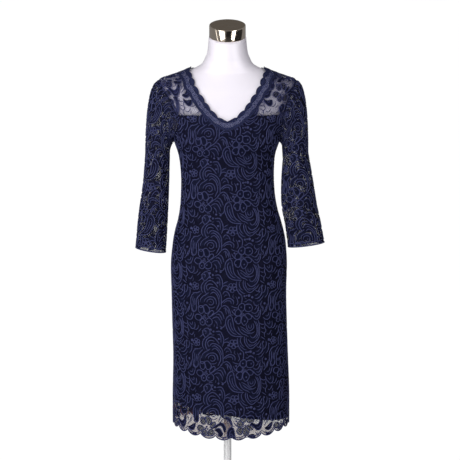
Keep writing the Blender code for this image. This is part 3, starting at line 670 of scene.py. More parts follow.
class Chart:
    """Flat lace built up in millimetres as points with a height, faces and finishes."""

    def __init__(self):
        self.points, self.faces, self.finish = [], [], []

    def add(self, points, faces, finish):
        """Add points, with faces of one finish numbered from the first of them."""
        first = sum(map(len, self.points))
        self.points.append(points)
        self.faces += [tuple(first + k for k in face) for face in faces]
        self.finish += [finish] * len(faces)

    def curve(self, points, step, closed=False):
        """Even points on a smooth curve through the chart's points."""
        points = np.array(points, float)
        if closed:
            count = len(points)
            points = np.vstack([points[-1:], points, points[:2]])
            fine = spline(points, np.linspace(1, count + 1, 16 * count + 1))
        else:
            fine = spline(points, np.linspace(0, len(points) - 1, 16 * (len(points) - 1) + 1))
        run = distances(fine)
        want = np.linspace(0, run[-1], max(3, int(round(run[-1] / step)) + 1))
        even = np.column_stack([np.interp(want, run, fine[:, k]) for k in (0, 1)])
        return even[:-1] if closed else even

    def cord(self, points, width, closed=False, step=3.6):
        """Raised cord along a curve, with tapered ends where it is open."""
        centre = self.curve(points, step, closed)
        widths = np.full(len(centre), CORD_SHARE * width)
        if closed:
            ahead = np.roll(centre, -1, 0) - np.roll(centre, 1, 0)
        else:
            ahead = np.gradient(centre, axis=0)
            ends = np.minimum(np.arange(len(centre)), np.arange(len(centre))[::-1])
            widths *= np.interp(ends, [0, 1, 2], [0.35, 0.8, 1.0])
        ahead /= np.linalg.norm(ahead, axis=1, keepdims=True)
        side = np.column_stack([-ahead[:, 1], ahead[:, 0]])
        rows = []
        for offset, height in CORD_PROFILE:
            flat = centre + side * (widths / 2 * offset)[:, None]
            rows.append(np.column_stack([flat, np.full(len(flat), height)]))
        block = np.stack(rows, 1).reshape(-1, 3)
        quads = grid_faces(len(centre) + closed, len(CORD_PROFILE)) % len(block)
        self.add(block, quads, CORDING)

    def leaf(self, points, step=5.0, finish=CLOTHWORK):
        """Patch of one finish inside a closed outline."""
        rim = self.curve(points, step, closed=True)
        self.add(np.column_stack([rim, np.full(len(rim), -0.25)]), [range(len(rim))], finish)

    def band(self, x_to, y_from, y_to, steps=8):
        """Straight band of clothwork along the chart."""
        x, y = np.meshgrid(np.linspace(0, x_to, steps), np.linspace(y_from, y_to, 4), indexing="ij")
        points = np.column_stack([x.ravel(), y.ravel(), np.full(x.size, -0.2)])
        self.add(points, grid_faces(steps, 4), CLOTHWORK)

    def dot(self, x, y, radius):
        """Raised eight-sided dot."""
        turn = np.arange(8) * math.pi / 4
        rim = np.column_stack([x + radius * np.cos(turn), y + radius * np.sin(turn)])
        top = (x, y) + (rim - (x, y)) * 0.55
        rings = [np.column_stack([rim, np.full(8, -0.5)]), np.column_stack([top, np.full(8, 0.6)])]
        self.add(np.vstack(rings), capped_faces(2, 8)[:8] + [range(8, 16)], CORDING)

    def flower(self, centre, start, petals, inner, outer, width):
        """Ring of rounded petals, each a corded loop filled with sheer cloth."""
        length = outer - inner
        shape = [(0, 0), (0.22, 0.30), (0.55, 0.50), (0.85, 0.40), (1.0, 0.0),
                 (0.85, -0.40), (0.55, -0.50), (0.22, -0.30)]
        for k in range(petals):
            turn = math.radians(start + 360 / petals * k)
            along = np.array([math.cos(turn), math.sin(turn)])
            side = np.array([-along[1], along[0]])
            loop = [np.array(centre) + along * (inner + length * a) + side * width * b for a, b in shape]
            self.leaf(loop, 3.5, SHEER)
            self.cord(loop, 3.0, closed=True, step=3.4)
        self.dot(*centre, inner * 0.75)

    def arrays(self):
        """Points in metres, faces and finishes of the whole chart."""
        return np.vstack(self.points) / 1000.0, self.faces, np.array(self.finish)


def body_chart():
    """One repeat of the lace."""
    chart = Chart()
    for outline in LEAVES:
        chart.leaf(outline)
    for outline in PETALS:
        chart.leaf(outline, 4.5, SHEER)
        chart.cord(outline, 3.2, closed=True)
    for width, points in STROKES:
        chart.cord(points, width)
    chart.cord(LOOP, 3.2, closed=True)
    for flower in FLOWERS:
        chart.flower(*flower)
    for dot in DOTS:
        chart.dot(*dot)
    return chart.arrays()


def inside(points, polygon):
    """Whether each point is inside a closed polygon."""
    x, y = points[:, 0], points[:, 1]
    result = np.zeros(len(points), bool)
    for (x0, y0), (x1, y1) in zip(polygon, np.roll(polygon, -1, 0)):
        if y0 == y1:
            continue
        crosses = ((y0 > y) != (y1 > y)) & (x < (x1 - x0) * (y - y0) / (y1 - y0) + x0)
        result ^= crosses
    return result


def onto(points, polygon, scale):
    """Nearest points of a polygon's outline, with rows and columns scaled to metres."""
    best = np.full(len(points), np.inf)
    result = points.copy()
    for a, b in zip(polygon, np.roll(polygon, -1, 0)):
        run = (b - a) * scale
        length = max(float(run @ run), 1e-18)
        t = np.clip(((points - a) * scale) @ run / length, 0, 1)
        near = a + (b - a) * t[:, None]
        gap = (((points - near) * scale) ** 2).sum(1)
        closer = gap < best
        best[closer] = gap[closer]
        result[closer] = near[closer]
    return result


def lay(name, patch, chart, repeat, origin, polygon, scale, materials, lift=0.0):
    """Lay a chart's repeats over a patch, cut along a polygon of rows and columns."""
    points, faces, finish = chart
    polygon = np.asarray(polygon, float)
    sizes = np.array([len(f) for f in faces])
    corners = np.concatenate([np.array(f) for f in faces])
    starts = np.concatenate([[0], np.cumsum(sizes)[:-1]])
    low = np.array([patch.across.min(), patch.down.min()])
    high = np.array([patch.across.max(), patch.down.max()])
    first = np.floor((low - origin - points[:, :2].max(0)) / repeat).astype(int)
    last = np.ceil((high - origin - points[:, :2].min(0)) / repeat).astype(int)
    verts, all_faces, uvs, index, total = [], [], [], [], 0
    for i in range(first[0], last[0] + 1):
        for j in range(first[1], last[1] + 1):
            flat = points[:, :2] + origin + np.array([i, j]) * repeat
            near = ((flat > low - 0.01) & (flat < high + 0.01)).all(1)
            if not near.any():
                continue
            r, c, found = patch.find(flat[:, 0], flat[:, 1])
            where = np.column_stack([r, c])
            within = inside(where, polygon) & found & near
            if not within.any():
                continue
            keep = np.add.reduceat(within[corners].astype(int), starts) > 0
            keep &= np.add.reduceat((~near)[corners].astype(int), starts) == 0
            used = np.unique(np.concatenate([faces[k] for k in np.flatnonzero(keep)] or [[0]]).astype(int))
            stray = used[~within[used]]
            where[stray] = onto(where[stray], polygon, scale)
            spot = patch.place(where[used, 0], where[used, 1], points[used, 2] + lift)
            number = np.full(len(points), -1)
            number[used] = np.arange(len(used)) + total
            verts.append(spot)
            uvs.append(flat[used])
            all_faces += [tuple(number[list(faces[k])]) for k in np.flatnonzero(keep)]
            index += list(finish[keep])
            total += len(used)
    return add_mesh(name, np.vstack(verts), all_faces, np.vstack(uvs), materials, index)


def panel_outline(face):
    """Edge of a front or back as patch rows and columns."""
    angles = seam_to_seam(face, 2 * EDGE_STEPS + 1)
    hem = np.column_stack([lace_hem(angles), angles])
    edges = [hem, resample(armhole(RIGHT, face), 40), resample(neck_edge(RIGHT, face, True), 50),
             resample(neck_edge(LEFT, face, True)[::-1], 50)[1:], resample(armhole(LEFT, face)[::-1], 40)]
    return body_index(np.vstack(edges), face)


# Metres per row and column of the patches, roughly.
BODY_SCALE = np.array([0.005, 0.0033])
SLEEVE_SCALE = np.array([0.005, 0.0025])
TRIM_SCALE = np.array([0.0023, 0.0019])
ROPE_BASE = -0.0004         # how far a cord's edges sink into the cloth


def rope(name, points, normals, width, height, material, closed=False):
    """Cord along a line of points, raised along the normals."""
    points, normals = np.asarray(points), np.asarray(normals)
    ahead = np.roll(points, -1, 0) - np.roll(points, 1, 0) if closed else np.gradient(points, axis=0)
    side = np.cross(ahead, normals)
    side /= np.linalg.norm(side, axis=1, keepdims=True)
    profile = [(-0.5, ROPE_BASE), (-0.38, height * 0.75), (0.0, height), (0.38, height * 0.75),
               (0.5, ROPE_BASE)]
    rows = np.stack([points + side * width * a + normals * h for a, h in profile], 1)
    count = len(profile)
    run = distances(points)
    uvs = np.stack([np.column_stack([run, np.full(len(run), width * a)]) for a, h in profile], 1)
    faces = grid_faces(len(points) + closed, count) % (len(points) * count)
    return add_mesh(name, rows.reshape(-1, 3), faces, uvs.reshape(-1, 2), [material])


def body_rope(name, levels, angles, depth, width, height, material):
    """Cord over the body along levels and angles, this deep below the lace face."""
    levels, angles = np.broadcast_arrays(levels, angles)
    return rope(name, skin(levels, angles, -depth), normal(levels, angles), width, height, material)


# ------------------------------------------------------------------ sleeves
SLEEVE_HALF = 48            # columns on half of a sleeve
CAP_ROWS = 34
TUBE_ROWS = 66

SLEEVE_RADIUS = 0.036       # roughly

# Creases across the sleeves: side, height, turn in degrees from the body round the
# front, lean, length, width and depth.
SLEEVE_FOLDS = [
    (LEFT, 1.075, 60, 64, 0.075, 0.0075, -0.0032), (LEFT, 1.050, 100, 72, 0.090, 0.0080, 0.0026),
    (LEFT, 1.020, 50, 58, 0.070, 0.0080, -0.0026), (LEFT, 1.150, 70, 40, 0.090, 0.0090, 0.0024),
    (LEFT, 1.240, 95, 12, 0.120, 0.0090, -0.0028), (LEFT, 1.100, 250, 80, 0.090, 0.0090, 0.0024),
    (LEFT, 1.020, 280, 100, 0.090, 0.0090, -0.0024), (LEFT, 0.960, 110, 30, 0.060, 0.0080, 0.0018),
    (RIGHT, 1.110, 60, -62, 0.075, 0.0080, -0.0028), (RIGHT, 1.070, 95, -70, 0.085, 0.0080, 0.0024),
    (RIGHT, 1.030, 70, -50, 0.070, 0.0085, -0.0024), (RIGHT, 1.170, 80, -36, 0.090, 0.0090, 0.0024),
    (RIGHT, 1.250, 90, -10, 0.120, 0.0090, -0.0028), (RIGHT, 1.090, 250, -80, 0.090, 0.0090, 0.0024),
    (RIGHT, 1.010, 280, -100, 0.090, 0.0090, -0.0024), (RIGHT, 0.950, 100, -20, 0.060, 0.0080, 0.0018),
]


def tube_rings(stations, side, turns, fractions):
    """Rings of the hanging sleeve, with turn 0 next to the body and pi outside."""
    table = spline(stations, fractions * (len(stations) - 1))
    height, inner, outer, front, back = (table[:, k:k + 1] for k in range(5))
    x = (inner + outer) / 2 - (outer - inner) / 2 * np.cos(turns)
    y = np.where(np.sin(turns) > 0, front, -back) * np.sin(turns)
    rise = fractions[:, None] * CUFF_RISE * (1 - np.cos(turns)) / 2
    return np.stack([side * x, y, height + rise], -1)


def sleeve_patch(side, stations):
    """Flat map of a sleeve, measured from its outer line and the top of its tube."""
    front = resample(armhole(side, FRONT), SLEEVE_HALF + 1)
    back = resample(armhole(side, BACK), SLEEVE_HALF + 1)[::-1]
    loop = np.vstack([front[:-1], back])
    edge = 0.0 if side == LEFT else math.pi
    loop[0, 1] = loop[SLEEVE_HALF, 1] = loop[-1, 1] = edge
    turns = np.linspace(0, 2 * math.pi, 2 * SLEEVE_HALF + 1)
    away = np.array([side, 0.0, 0.0])
    start = skin(loop[:, 0], loop[:, 1], -0.0006) + away * 0.0008
    end = tube_rings(stations, side, turns, np.zeros(1))[0]
    span = np.linalg.norm(end - start, axis=1, keepdims=True)
    rings = []
    for t in np.linspace(0, 1, CAP_ROWS) ** 1.1:
        rings.append(start * (1 + 2 * t) * (1 - t) ** 2 + away * 0.45 * span * t * (1 - t) ** 2
                     + end * t * t * (3 - 2 * t) + np.array([0, 0, -1.2]) * span * t * t * (t - 1))
    tube = tube_rings(stations, side, turns, np.linspace(0, 1, TUBE_ROWS + 1)[1:])
    rings = np.concatenate([np.array(rings), tube])
    normals = ring_normals(rings)
    if ((rings - rings.mean(axis=1, keepdims=True)) * normals).sum() < 0:
        normals = -normals
    stand = np.zeros(rings.shape[:2])
    for wearer, height, turn, *shape in SLEEVE_FOLDS:
        if wearer == side:
            gap = (turns - math.radians(turn) + math.pi) % (2 * math.pi) - math.pi
            stand += fold(gap * SLEEVE_RADIUS, rings[..., 2] - height, *shape)
    fade = np.clip(np.arange(len(rings)) / 12, 0, 1)[:, None]
    rings = rings + normals * (stand * fade)[..., None]
    return Patch(rings, ring_normals(rings, normals), run_lengths(rings, 1, SLEEVE_HALF),
                 run_lengths(rings, 0, CAP_ROWS))


def ring_normals(rings, like=None):
    """Unit normals of a grid whose first and last columns meet."""
    wide = np.concatenate([rings[:, -2:-1], rings, rings[:, 1:2]], axis=1)
    across = wide[:, 2:] - wide[:, :-2]
    n = np.cross(across, np.gradient(rings, axis=0))
    n /= np.maximum(np.linalg.norm(n, axis=-1, keepdims=True), 1e-12)
    if like is not None and (n * like).sum() < 0:
        n = -n
    return n


def patch_sheet(name, patch, depth, material, flip):
    """Open sheet over the whole of a patch."""
    verts = (patch.points - patch.normals * depth).reshape(-1, 3)
    uvs = np.column_stack([patch.across.ravel(), patch.down.ravel()])
    return add_mesh(name, verts, grid_faces(*patch.across.shape, flip=flip), uvs, [material])


def patch_outline(patch, inset):
    """Edge of a whole patch as rows and columns, a little inside it."""
    bottom, right = np.array(patch.across.shape) - (1 + inset)
    return [(inset, inset), (inset, right), (bottom, right), (bottom, inset)]


def make_sleeve(name, node, side, stations, origin):
    """Sleeve as its sheet, and a list of its lace, edge and seams."""
    patch = sleeve_patch(side, stations)
    sheet = patch_sheet(name + "_net", patch, NET_DEPTH, net_sleeve, side == RIGHT)
    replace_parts(sheet, node)
    pieces = [lay(name + "_lace", patch, BODY_CHART, REPEAT, np.array(origin), patch_outline(patch, 0.02),
                  SLEEVE_SCALE, LACE)]
    for label, row, width, height, material in (("_cuff_edge", -1, 0.0034, 0.0012, cording),
                                                ("_cuff_seam", -5, 0.0022, 0.0008, cording),
                                                ("_head_seam", 0, 0.0030, 0.0007, seam_thread)):
        pieces.append(rope(name + label, patch.points[row][:-1], patch.normals[row][:-1], width, height,
                           material, closed=True))
    return sheet, pieces


# ------------------------------------------------------------ neckline trim
TRIM_ROWS = 13
TRIM_FINE = 12              # points along one scallop


def trim_patch(side, face):
    """Flat map of one side of the trim; rows run from its sewn edge to its scallops."""
    lobes = TRIM_LOBES[face]
    count = lobes * TRIM_FINE + 1
    outer = resample(neck_edge(side, face, True), count)
    inner = resample(neck_edge(side, face, False), count)
    phase = np.linspace(0, lobes, count) % 1.0
    lobe = np.abs(np.sin(math.pi * phase)) ** 0.8
    reach = 1 + (TRIM_LOBE - TRIM_NOTCH * (1 - lobe)) / TRIM_WIDTH
    w = np.linspace(0, 1, TRIM_ROWS)[:, None] * reach
    path = outer + (inner - outer) * w[..., None]
    points = skin(path[..., 0], path[..., 1], 0.0004)
    across = run_lengths(points, 1, 0)
    across = np.broadcast_to(across[TRIM_ROWS // 2], across.shape) * 1.0
    patch = Patch(points, normal(path[..., 0], path[..., 1]), across, run_lengths(points, 0, 0))
    patch.pitch = across[0, -1] / lobes
    return patch


# Cords of one scallop of the trim: width, step, and points as shares of the scallop's
# length and millimetres from the sewn edge.
TRIM_CORDS = [
    (2.4, 2.6, [(0, 20.0), (0.25, 18.2), (0.5, 20.0), (0.75, 21.8), (1, 20.0)]),
    (2.4, 2.6, [(0, 6.0), (0.25, 7.1), (0.5, 6.0), (0.75, 4.9), (1, 6.0)]),
    (2.4, 2.6, [(0.06, 26), (0.22, 21), (0.5, 19.5), (0.78, 21), (0.94, 26)]),
    (2.2, 2.4, [(0.34, 27), (0.42, 23.5), (0.58, 23.5), (0.66, 27)]),
    (2.0, 2.4, [(0.30, 10.0), (0.42, 12.5), (0.36, 14.8)]),
    (2.0, 2.4, [(0.80, 8.0), (0.72, 11.5), (0.84, 15.5)]),
    (2.0, 2.4, [(0.12, 1.5), (0.30, 4.0), (0.50, 2.0)]),
    (2.0, 2.4, [(0.60, 3.5), (0.78, 1.5), (0.92, 3.5)]),
]


def trim_chart(pitch):
    """One scallop of the trim: a band of net between two bands of clothwork, with cords."""
    length = pitch * 1000.0
    chart = Chart()
    chart.band(length, -3.0, 6.0)
    chart.band(length, 20.0, 32.0)
    for width, step, points in TRIM_CORDS:
        chart.cord([(share * length, y) for share, y in points], width, step=step)
    return chart.arrays()


def make_trim(name, face, nodes):
    """Both sides of the neckline trim, each as its sheet and a list of its lace and cords."""
    made = []
    for side, label in ((LEFT, name + "_left"), (RIGHT, name + "_right")):
        patch = trim_patch(side, face)
        sheet = patch_sheet(label + "_net", patch, 0.0, trim_net, side * face < 0)
        lace = lay(label + "_lace", patch, trim_chart(patch.pitch), np.array([patch.pitch, 1.0]),
                   np.zeros(2), patch_outline(patch, 0), TRIM_SCALE, [trim_cloth, trim_cord],
                   0.0003)
        edge = rope(label + "_scallop", patch.points[-1], patch.normals[-1], 0.0026, 0.0010, trim_cord)
        sewn = rope(label + "_seam", patch.points[0], patch.normals[0], 0.0030, 0.0009, trim_cord)
        if side in nodes:
            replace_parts(sheet, nodes[side])
        made.append((sheet, [lace, edge, sewn]))
    return made


# ---------------------------------------------------------------- materials
class Graph:
    """Small helper round a material's node tree."""

    def __init__(self, name):
        self.material = bpy.data.materials.new(name)
        self.material.use_nodes = True
        self.tree = self.material.node_tree
        self.shader = self.tree.nodes["Principled BSDF"]

    def set(self, **values):
        for key, value in values.items():
            self.shader.inputs[key.replace("_", " ")].default_value = value

    def join(self, socket, value):
        """Link a node's output to a socket, or set the socket to a number or a colour."""
        if isinstance(value, bpy.types.NodeSocket):
            self.tree.links.new(value, socket)
        else:
            socket.default_value = (*value, 1.0) if isinstance(value, tuple) else value

    def add(self, kind, links=(), inputs=(), **settings):
        node = self.tree.nodes.new(kind)
        for key, value in settings.items():
            setattr(node, key, value)
        for key, value in dict(inputs).items():
            node.inputs[key].default_value = value
        for key, source in dict(links).items():
            self.tree.links.new(source, node.inputs[key])
        return node

    def feed(self, socket, source):
        self.tree.links.new(source, self.shader.inputs[socket])

    def cloth(self):
        """Position on the flat cloth."""
        return self.add("ShaderNodeUVMap", uv_map="cloth").outputs["UV"]

    def place(self):
        """Position in the frame."""
        return self.add("ShaderNodeTexCoord").outputs["Object"]

    def noise(self, where, scale, detail=2.0):
        return self.add("ShaderNodeTexNoise", {"Vector": where},
                        {"Scale": scale, "Detail": detail, "Roughness": 0.5}).outputs["Fac"]

    def spread(self, source, low, high, to_low=0.0, to_high=1.0):
        """Map the range low to high of a value onto another range."""
        return self.add("ShaderNodeMapRange", {"Value": source},
                        {"From Min": low, "From Max": high, "To Min": to_low,
                         "To Max": to_high}).outputs["Result"]

    def mix(self, factor, first, second):
        node = self.add("ShaderNodeMix", data_type="RGBA")
        self.tree.links.new(factor, node.inputs[0])
        self.join(node.inputs[6], first)
        self.join(node.inputs[7], second)
        return node.outputs[2]

    def maths(self, operation, a, b):
        node = self.add("ShaderNodeMath", operation=operation)
        self.join(node.inputs[0], a)
        self.join(node.inputs[1], b)
        return node.outputs[0]

    def bump(self, height, distance, strength):
        node = self.add("ShaderNodeBump", {"Height": height},
                        {"Distance": distance, "Strength": strength})
        self.feed("Normal", node.outputs["Normal"])


TURN = 6.283                # radians in a turn, as the wave texture counts
YOKE_FADE = 0.010           # height over which the net changes above the slip's top
YOKE_OPEN = 0.70            # thread left where the net is stretched over the yoke
HEM_FADE = (0.018, 0.010)   # below the slip's hem, where light first comes through


def net_material(name, cell, cover, dark, light, yoke=None, hem=None):
    """Knitted net: thread along the edges of small cells, holes between.

    Where yoke and hem are given, they are painted light: colours painted on the threads
    above the slip's top, a lighter blue for the lit form seen through the net, and below its
    hem, a warm tone for the light that comes through from behind. The holes are stretched open in the
    yoke.
    """
    g = Graph(name)
    g.set(Roughness=0.8, Specular_IOR_Level=0.02)
    where = g.cloth()
    cells = g.add("ShaderNodeTexVoronoi", {"Vector": where}, {"Scale": 1 / cell, "Randomness": 0.42},
                  feature="DISTANCE_TO_EDGE", voronoi_dimensions="2D").outputs["Distance"]
    half = (1 - math.sqrt(1 - cover)) / 2
    thread = g.spread(cells, half + 0.03, half - 0.03)
    tone = g.mix(g.noise(where, 60.0), dark, light)
    if hem:
        place = g.add("ShaderNodeSeparateXYZ", {"Vector": g.place()}).outputs
        above_top = g.spread(place["Z"], SLIP_TOP_Z, SLIP_TOP_Z + YOKE_FADE)
        slanted = g.maths("SUBTRACT", place["Z"], g.maths("MULTIPLY", place["X"], SLIP_HEM_SLANT))
        # Painted light: below the slip's hem the threads take a warm colour, for the light seen through
        # them from behind.
        below_hem = g.spread(slanted, SLIP_HEM_Z - HEM_FADE[0], SLIP_HEM_Z - HEM_FADE[1], 1.0, 0.0)
        thread = g.maths("MULTIPLY", thread, g.spread(above_top, 0.0, 1.0, 1.0, YOKE_OPEN))
        # Painted light: above the slip's top the threads take the lighter yoke colour, for the lit form
        # seen through them.
        tone = g.mix(below_hem, g.mix(above_top, tone, yoke), hem)
    g.feed("Alpha", thread)
    g.feed("Base Color", tone)
    return g.material


def woven_material(name, dark, light, rib, rough=0.7, gloss=0.02):
    """Close clothwork with fine ribs across it."""
    g = Graph(name)
    g.set(Roughness=rough, Specular_IOR_Level=gloss)
    where = g.cloth()
    ribs = g.add("ShaderNodeTexWave", {"Vector": where},
                 {"Scale": 1 / rib / TURN, "Distortion": 1.2, "Detail": 1.0},
                 bands_direction="DIAGONAL").outputs["Fac"]
    tone = g.maths("ADD", g.noise(where, 140.0), g.maths("MULTIPLY", ribs, 0.5))
    g.feed("Base Color", g.mix(g.spread(tone, 0.35, 1.1), dark, light))
    g.bump(ribs, 0.0004, 0.6)
    return g.material


def plain_material(name, colour, rough, grain, metal=0.0):
    """Painted, lacquered or metal skin with a very fine grain."""
    g = Graph(name)
    g.set(Metallic=metal)
    where = g.place()
    dark = tuple(0.96 * c for c in colour)
    g.feed("Base Color", g.mix(g.noise(where, 18.0, 3.0), dark, colour))
    g.feed("Roughness", g.spread(g.noise(where, 90.0), 0.3, 0.7, rough - 0.04, rough + 0.04))
    g.bump(g.noise(where, 900.0), grain, 0.3)
    return g.material


# ------------------------------------------------------------------- stage
STAGE_RADIUS = 6.5
STAGE_CURVE = 2.0
STAGE_HEIGHT = 7.0
STAGE_SIDES = 96

# Soft lights standing on the floor: azimuth in degrees from the front towards +X,
# distance, width, height, watts, and the rays that they leave out.  The glints are seen
# only in polished metal, and the key and fill only on dull surfaces.
LIGHTS = {
    "key": (-28, 1.6, 0.95, 2.8, 26.5, "glossy"),
    "fill": (18, 1.6, 0.80, 2.8, 6.5, "glossy"),
    "glint_right": (44, 1.5, 0.62, 2.4, 24, "diffuse"),
    "glint_left": (-38, 1.5, 0.90, 2.4, 36, "diffuse"),
    "glint_thin": (-78, 1.5, 0.10, 2.4, 2, "diffuse"),
}
CAMERA_PLACE = (0.0071, -3.33, 1.353)
CAMERA_DOWN = 6.6           # degrees below level
CAMERA_LENS = 91.64


def studio_piece(name, verts, faces, unseen, material, **settings):
    """Part of the studio, which the rays of the given kinds do not see."""
    mesh = bpy.data.meshes.new(name)
    mesh.from_pydata(verts, [], faces)
    piece = bpy.data.objects.new(name, mesh)
    bpy.context.scene.collection.objects.link(piece)
    g = Graph(material)
    g.set(**settings)
    mesh.materials.append(g.material)
    for kind in unseen:
        setattr(piece, "visible_" + kind, False)
    return mesh


def make_stage():
    """Round pale floor that curves up into a backdrop on every side."""
    bend = [(STAGE_RADIUS - STAGE_CURVE + STAGE_CURVE * math.sin(t), STAGE_CURVE * (1 - math.cos(t)))
            for t in np.linspace(0, math.pi / 2, 14)]
    profile = np.array([(0.2, 0.0), (0.6, 0.0), (2.0, 0.0)] + bend + [(STAGE_RADIUS, STAGE_HEIGHT)])
    a = np.arange(STAGE_SIDES) * 2 * math.pi / STAGE_SIDES
    rings = np.stack([profile[:, :1] * np.cos(a), profile[:, :1] * np.sin(a),
                      np.repeat(profile[:, 1:], STAGE_SIDES, axis=1)], -1).reshape(-1, 3)
    faces = capped_faces(len(profile), STAGE_SIDES)[:-1]
    mesh = studio_piece("studio_floor", rings.tolist(), faces, ("glossy", "diffuse"), "studio_paper",
                        Base_Color=(0.08, 0.08, 0.08, 1), Roughness=0.95,
                        Emission_Color=(1, 1, 1, 1), Emission_Strength=0.98)
    mesh.shade_smooth()


def make_flag():
    """Black cards low in front and to the right, seen only in the polished cap."""
    points = [(-0.55, -3.4, 0.02), (1.7, -3.4, 0.02), (0.45, -0.5, 0.02), (-0.3, -0.5, 0.02),
              (-0.55, -3.4, 2.2), (1.7, -3.4, 2.2), (0.60, -0.45, 0.02), (2.8, -1.7, 0.02),
              (2.8, 1.0, 0.02), (0.60, 0.15, 0.02), (2.8, -1.7, 1.3), (2.8, 1.0, 1.3)]
    faces = [(0, 1, 2, 3), (0, 1, 5, 4), (6, 7, 8, 9), (7, 8, 11, 10)]
    studio_piece("black_flag", points, faces, ("camera", "diffuse", "shadow", "transmission"),
                 "black_card", Base_Color=(0.06, 0.06, 0.06, 1), Roughness=1.0)


def make_light():
    """Soft lights and a grey sky."""
    for name, (azimuth, distance, width, tall, watts, unseen) in LIGHTS.items():
        data = bpy.data.lights.new(name, "AREA")
        data.shape = "RECTANGLE"
        data.size, data.size_y = width, tall
        data.energy = watts
        lamp = bpy.data.objects.new(name, data)
        a = math.radians(azimuth)
        lamp.location = (distance * math.sin(a), -distance * math.cos(a), tall / 2)
        lamp.rotation_euler = (math.pi / 2, 0, a)
        bpy.context.scene.collection.objects.link(lamp)
        setattr(lamp, "visible_" + unseen, False)
    world = bpy.data.worlds.new("studio")
    bpy.context.scene.world = world
    world.use_nodes = True
    world.node_tree.nodes["Background"].inputs["Color"].default_value = (0.29, 0.29, 0.30, 1)
    bpy.context.scene.view_settings.view_transform = "Standard"


def make_camera():
    data = bpy.data.cameras.new("camera")
    data.lens = CAMERA_LENS
    data.sensor_width = 36
    camera = bpy.data.objects.new("camera", data)
    camera.location = CAMERA_PLACE
    camera.rotation_euler = (math.radians(90 - CAMERA_DOWN), 0, 0)
    bpy.context.scene.collection.objects.link(camera)
    bpy.context.scene.camera = camera


# ---------------------------------------------------------- the dress form
FORM_SIDES = 128


def make_form():
    """White form inside the dress, from its rounded bottom to the neck under the cap."""
    angles = np.arange(FORM_SIDES) * 2 * math.pi / FORM_SIDES
    levels = np.concatenate([np.linspace(level_at(FORM_BOTTOM_Z + 0.012), ARMPIT, 60),
                             np.linspace(ARMPIT, NECK_TOP - 0.15, 80)[1:]])
    rings = []
    for s in levels:
        depth = FORM_DEPTH * float(np.clip((BARE_NECK - s) / 2.0, 0, 1))
        rings.append(surface(s, angles) - normal(np.full(FORM_SIDES, s), angles) * depth)
    first = rings[0]
    centre = first.mean(axis=0)
    for t in np.linspace(0, 1, 7)[1:]:
        turn = t * math.pi / 2
        ring = first.copy()
        shrink = 1 - 0.06 * (1 - math.cos(turn))
        ring[:, :2] = centre[:2] + (first[:, :2] - centre[:2]) * shrink
        ring[:, 2] = first[:, 2] - (first[0, 2] - FORM_BOTTOM_Z) * math.sin(turn)
        rings.insert(0, ring)
    y = -NECK_RADIUS * np.sin(angles) * math.cos(CAP_TILT)
    z = -NECK_RADIUS * np.sin(angles) * math.sin(CAP_TILT)
    top = np.column_stack([NECK_RADIUS * np.cos(angles), y, z]) + np.array(CAP_CENTRE)
    rings.append(top - (0.0, 0.0, 0.0004))
    faces = capped_faces(len(rings), FORM_SIDES)
    form = add_mesh("dress_form", np.array(rings).reshape(-1, 3), faces, None, [form_skin])
    form.data.set_sharp_from_angle(angle=math.radians(50))
    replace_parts(form, "form_torso")


def lathe(name, profile, around, materials, tilt=0.0, centre=(0, 0, 0), split=0):
    """Solid turned from a radius and height profile, tilted forward about its centre.

    The second material starts split rings up.
    """
    profile = np.array(profile)
    a = np.arange(around) * 2 * math.pi / around
    x = profile[:, :1] * np.cos(a)
    y = profile[:, :1] * np.sin(a)
    h = np.repeat(profile[:, 1:], around, axis=1)
    verts = np.stack([centre[0] + x, centre[1] + y * math.cos(tilt) - h * math.sin(tilt),
                      centre[2] + y * math.sin(tilt) + h * math.cos(tilt)], -1).reshape(-1, 3)
    faces = capped_faces(len(profile), around)
    index = None
    if split:
        index = [0] * (split * around) + [1] * (len(faces) - split * around - 2) + [0, 1]
    piece = add_mesh(name, verts, faces, None, materials, index)
    piece.data.set_sharp_from_angle(angle=math.radians(40))
    return piece


def fillet(x, z, radius, start, end, steps=6):
    """Arc of a profile round a corner centre, by start and end direction in degrees."""
    return [(x + radius * math.cos(math.radians(a)), z + radius * math.sin(math.radians(a)))
            for a in np.linspace(start, end, steps)]


def make_cap():
    """Tilted bronze cap with a polished side and a brushed top, whose darker colour is painted shade."""
    profile = [(CAP_RADIUS - 0.0008, 0.0)]
    profile += fillet(CAP_RADIUS - 0.0008, 0.0008, 0.0008, -60, 0, 3)
    profile += fillet(CAP_RADIUS - 0.0026, CAP_HEIGHT - 0.0022, 0.0022, 5, 85)
    split = len(profile) - 1
    profile += [(CAP_RADIUS - 0.012, CAP_HEIGHT - 0.0002), (0.004, CAP_HEIGHT)]
    cap = lathe("bronze_cap", profile, 128, [bronze_side, bronze_top_shaded], CAP_TILT, CAP_CENTRE, split)
    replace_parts(cap, "neck_cap")


def make_stand():
    """Round base plate, and a pole with a flange under the form."""
    base = [(BASE_RADIUS - 0.002, 0.0)] + fillet(BASE_RADIUS - 0.0015, 0.0015, 0.0015, -60, 0, 4)
    base += fillet(BASE_RADIUS - 0.004, BASE_HEIGHT - 0.005, 0.004, 0, 80)
    base += [(BASE_RADIUS - 0.014, BASE_HEIGHT), (0.026, BASE_HEIGHT)]
    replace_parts(lathe("base_plate", base, 160, [paint]), "stand_base")
    top = FORM_BOTTOM_Z - 0.0003
    pole = [(0.024, BASE_HEIGHT + 0.0003)]
    pole += fillet(0.022, BASE_HEIGHT + 0.012, 0.002, 0, 80, 5)
    pole += fillet(POLE_RADIUS + 0.004, BASE_HEIGHT + 0.020, 0.004, 260, 180, 6)
    pole += [(POLE_RADIUS, z) for z in np.linspace(BASE_HEIGHT + 0.03, top - 0.026, 8)]
    pole += fillet(POLE_RADIUS + 0.008, top - 0.018, 0.008, 180, 100, 6)
    pole += [(FLANGE_RADIUS - 0.001, top - 0.005), (FLANGE_RADIUS, top - 0.004), (FLANGE_RADIUS, top)]
    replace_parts(lathe("support_pole", pole, 64, [paint]), "stand_pole")


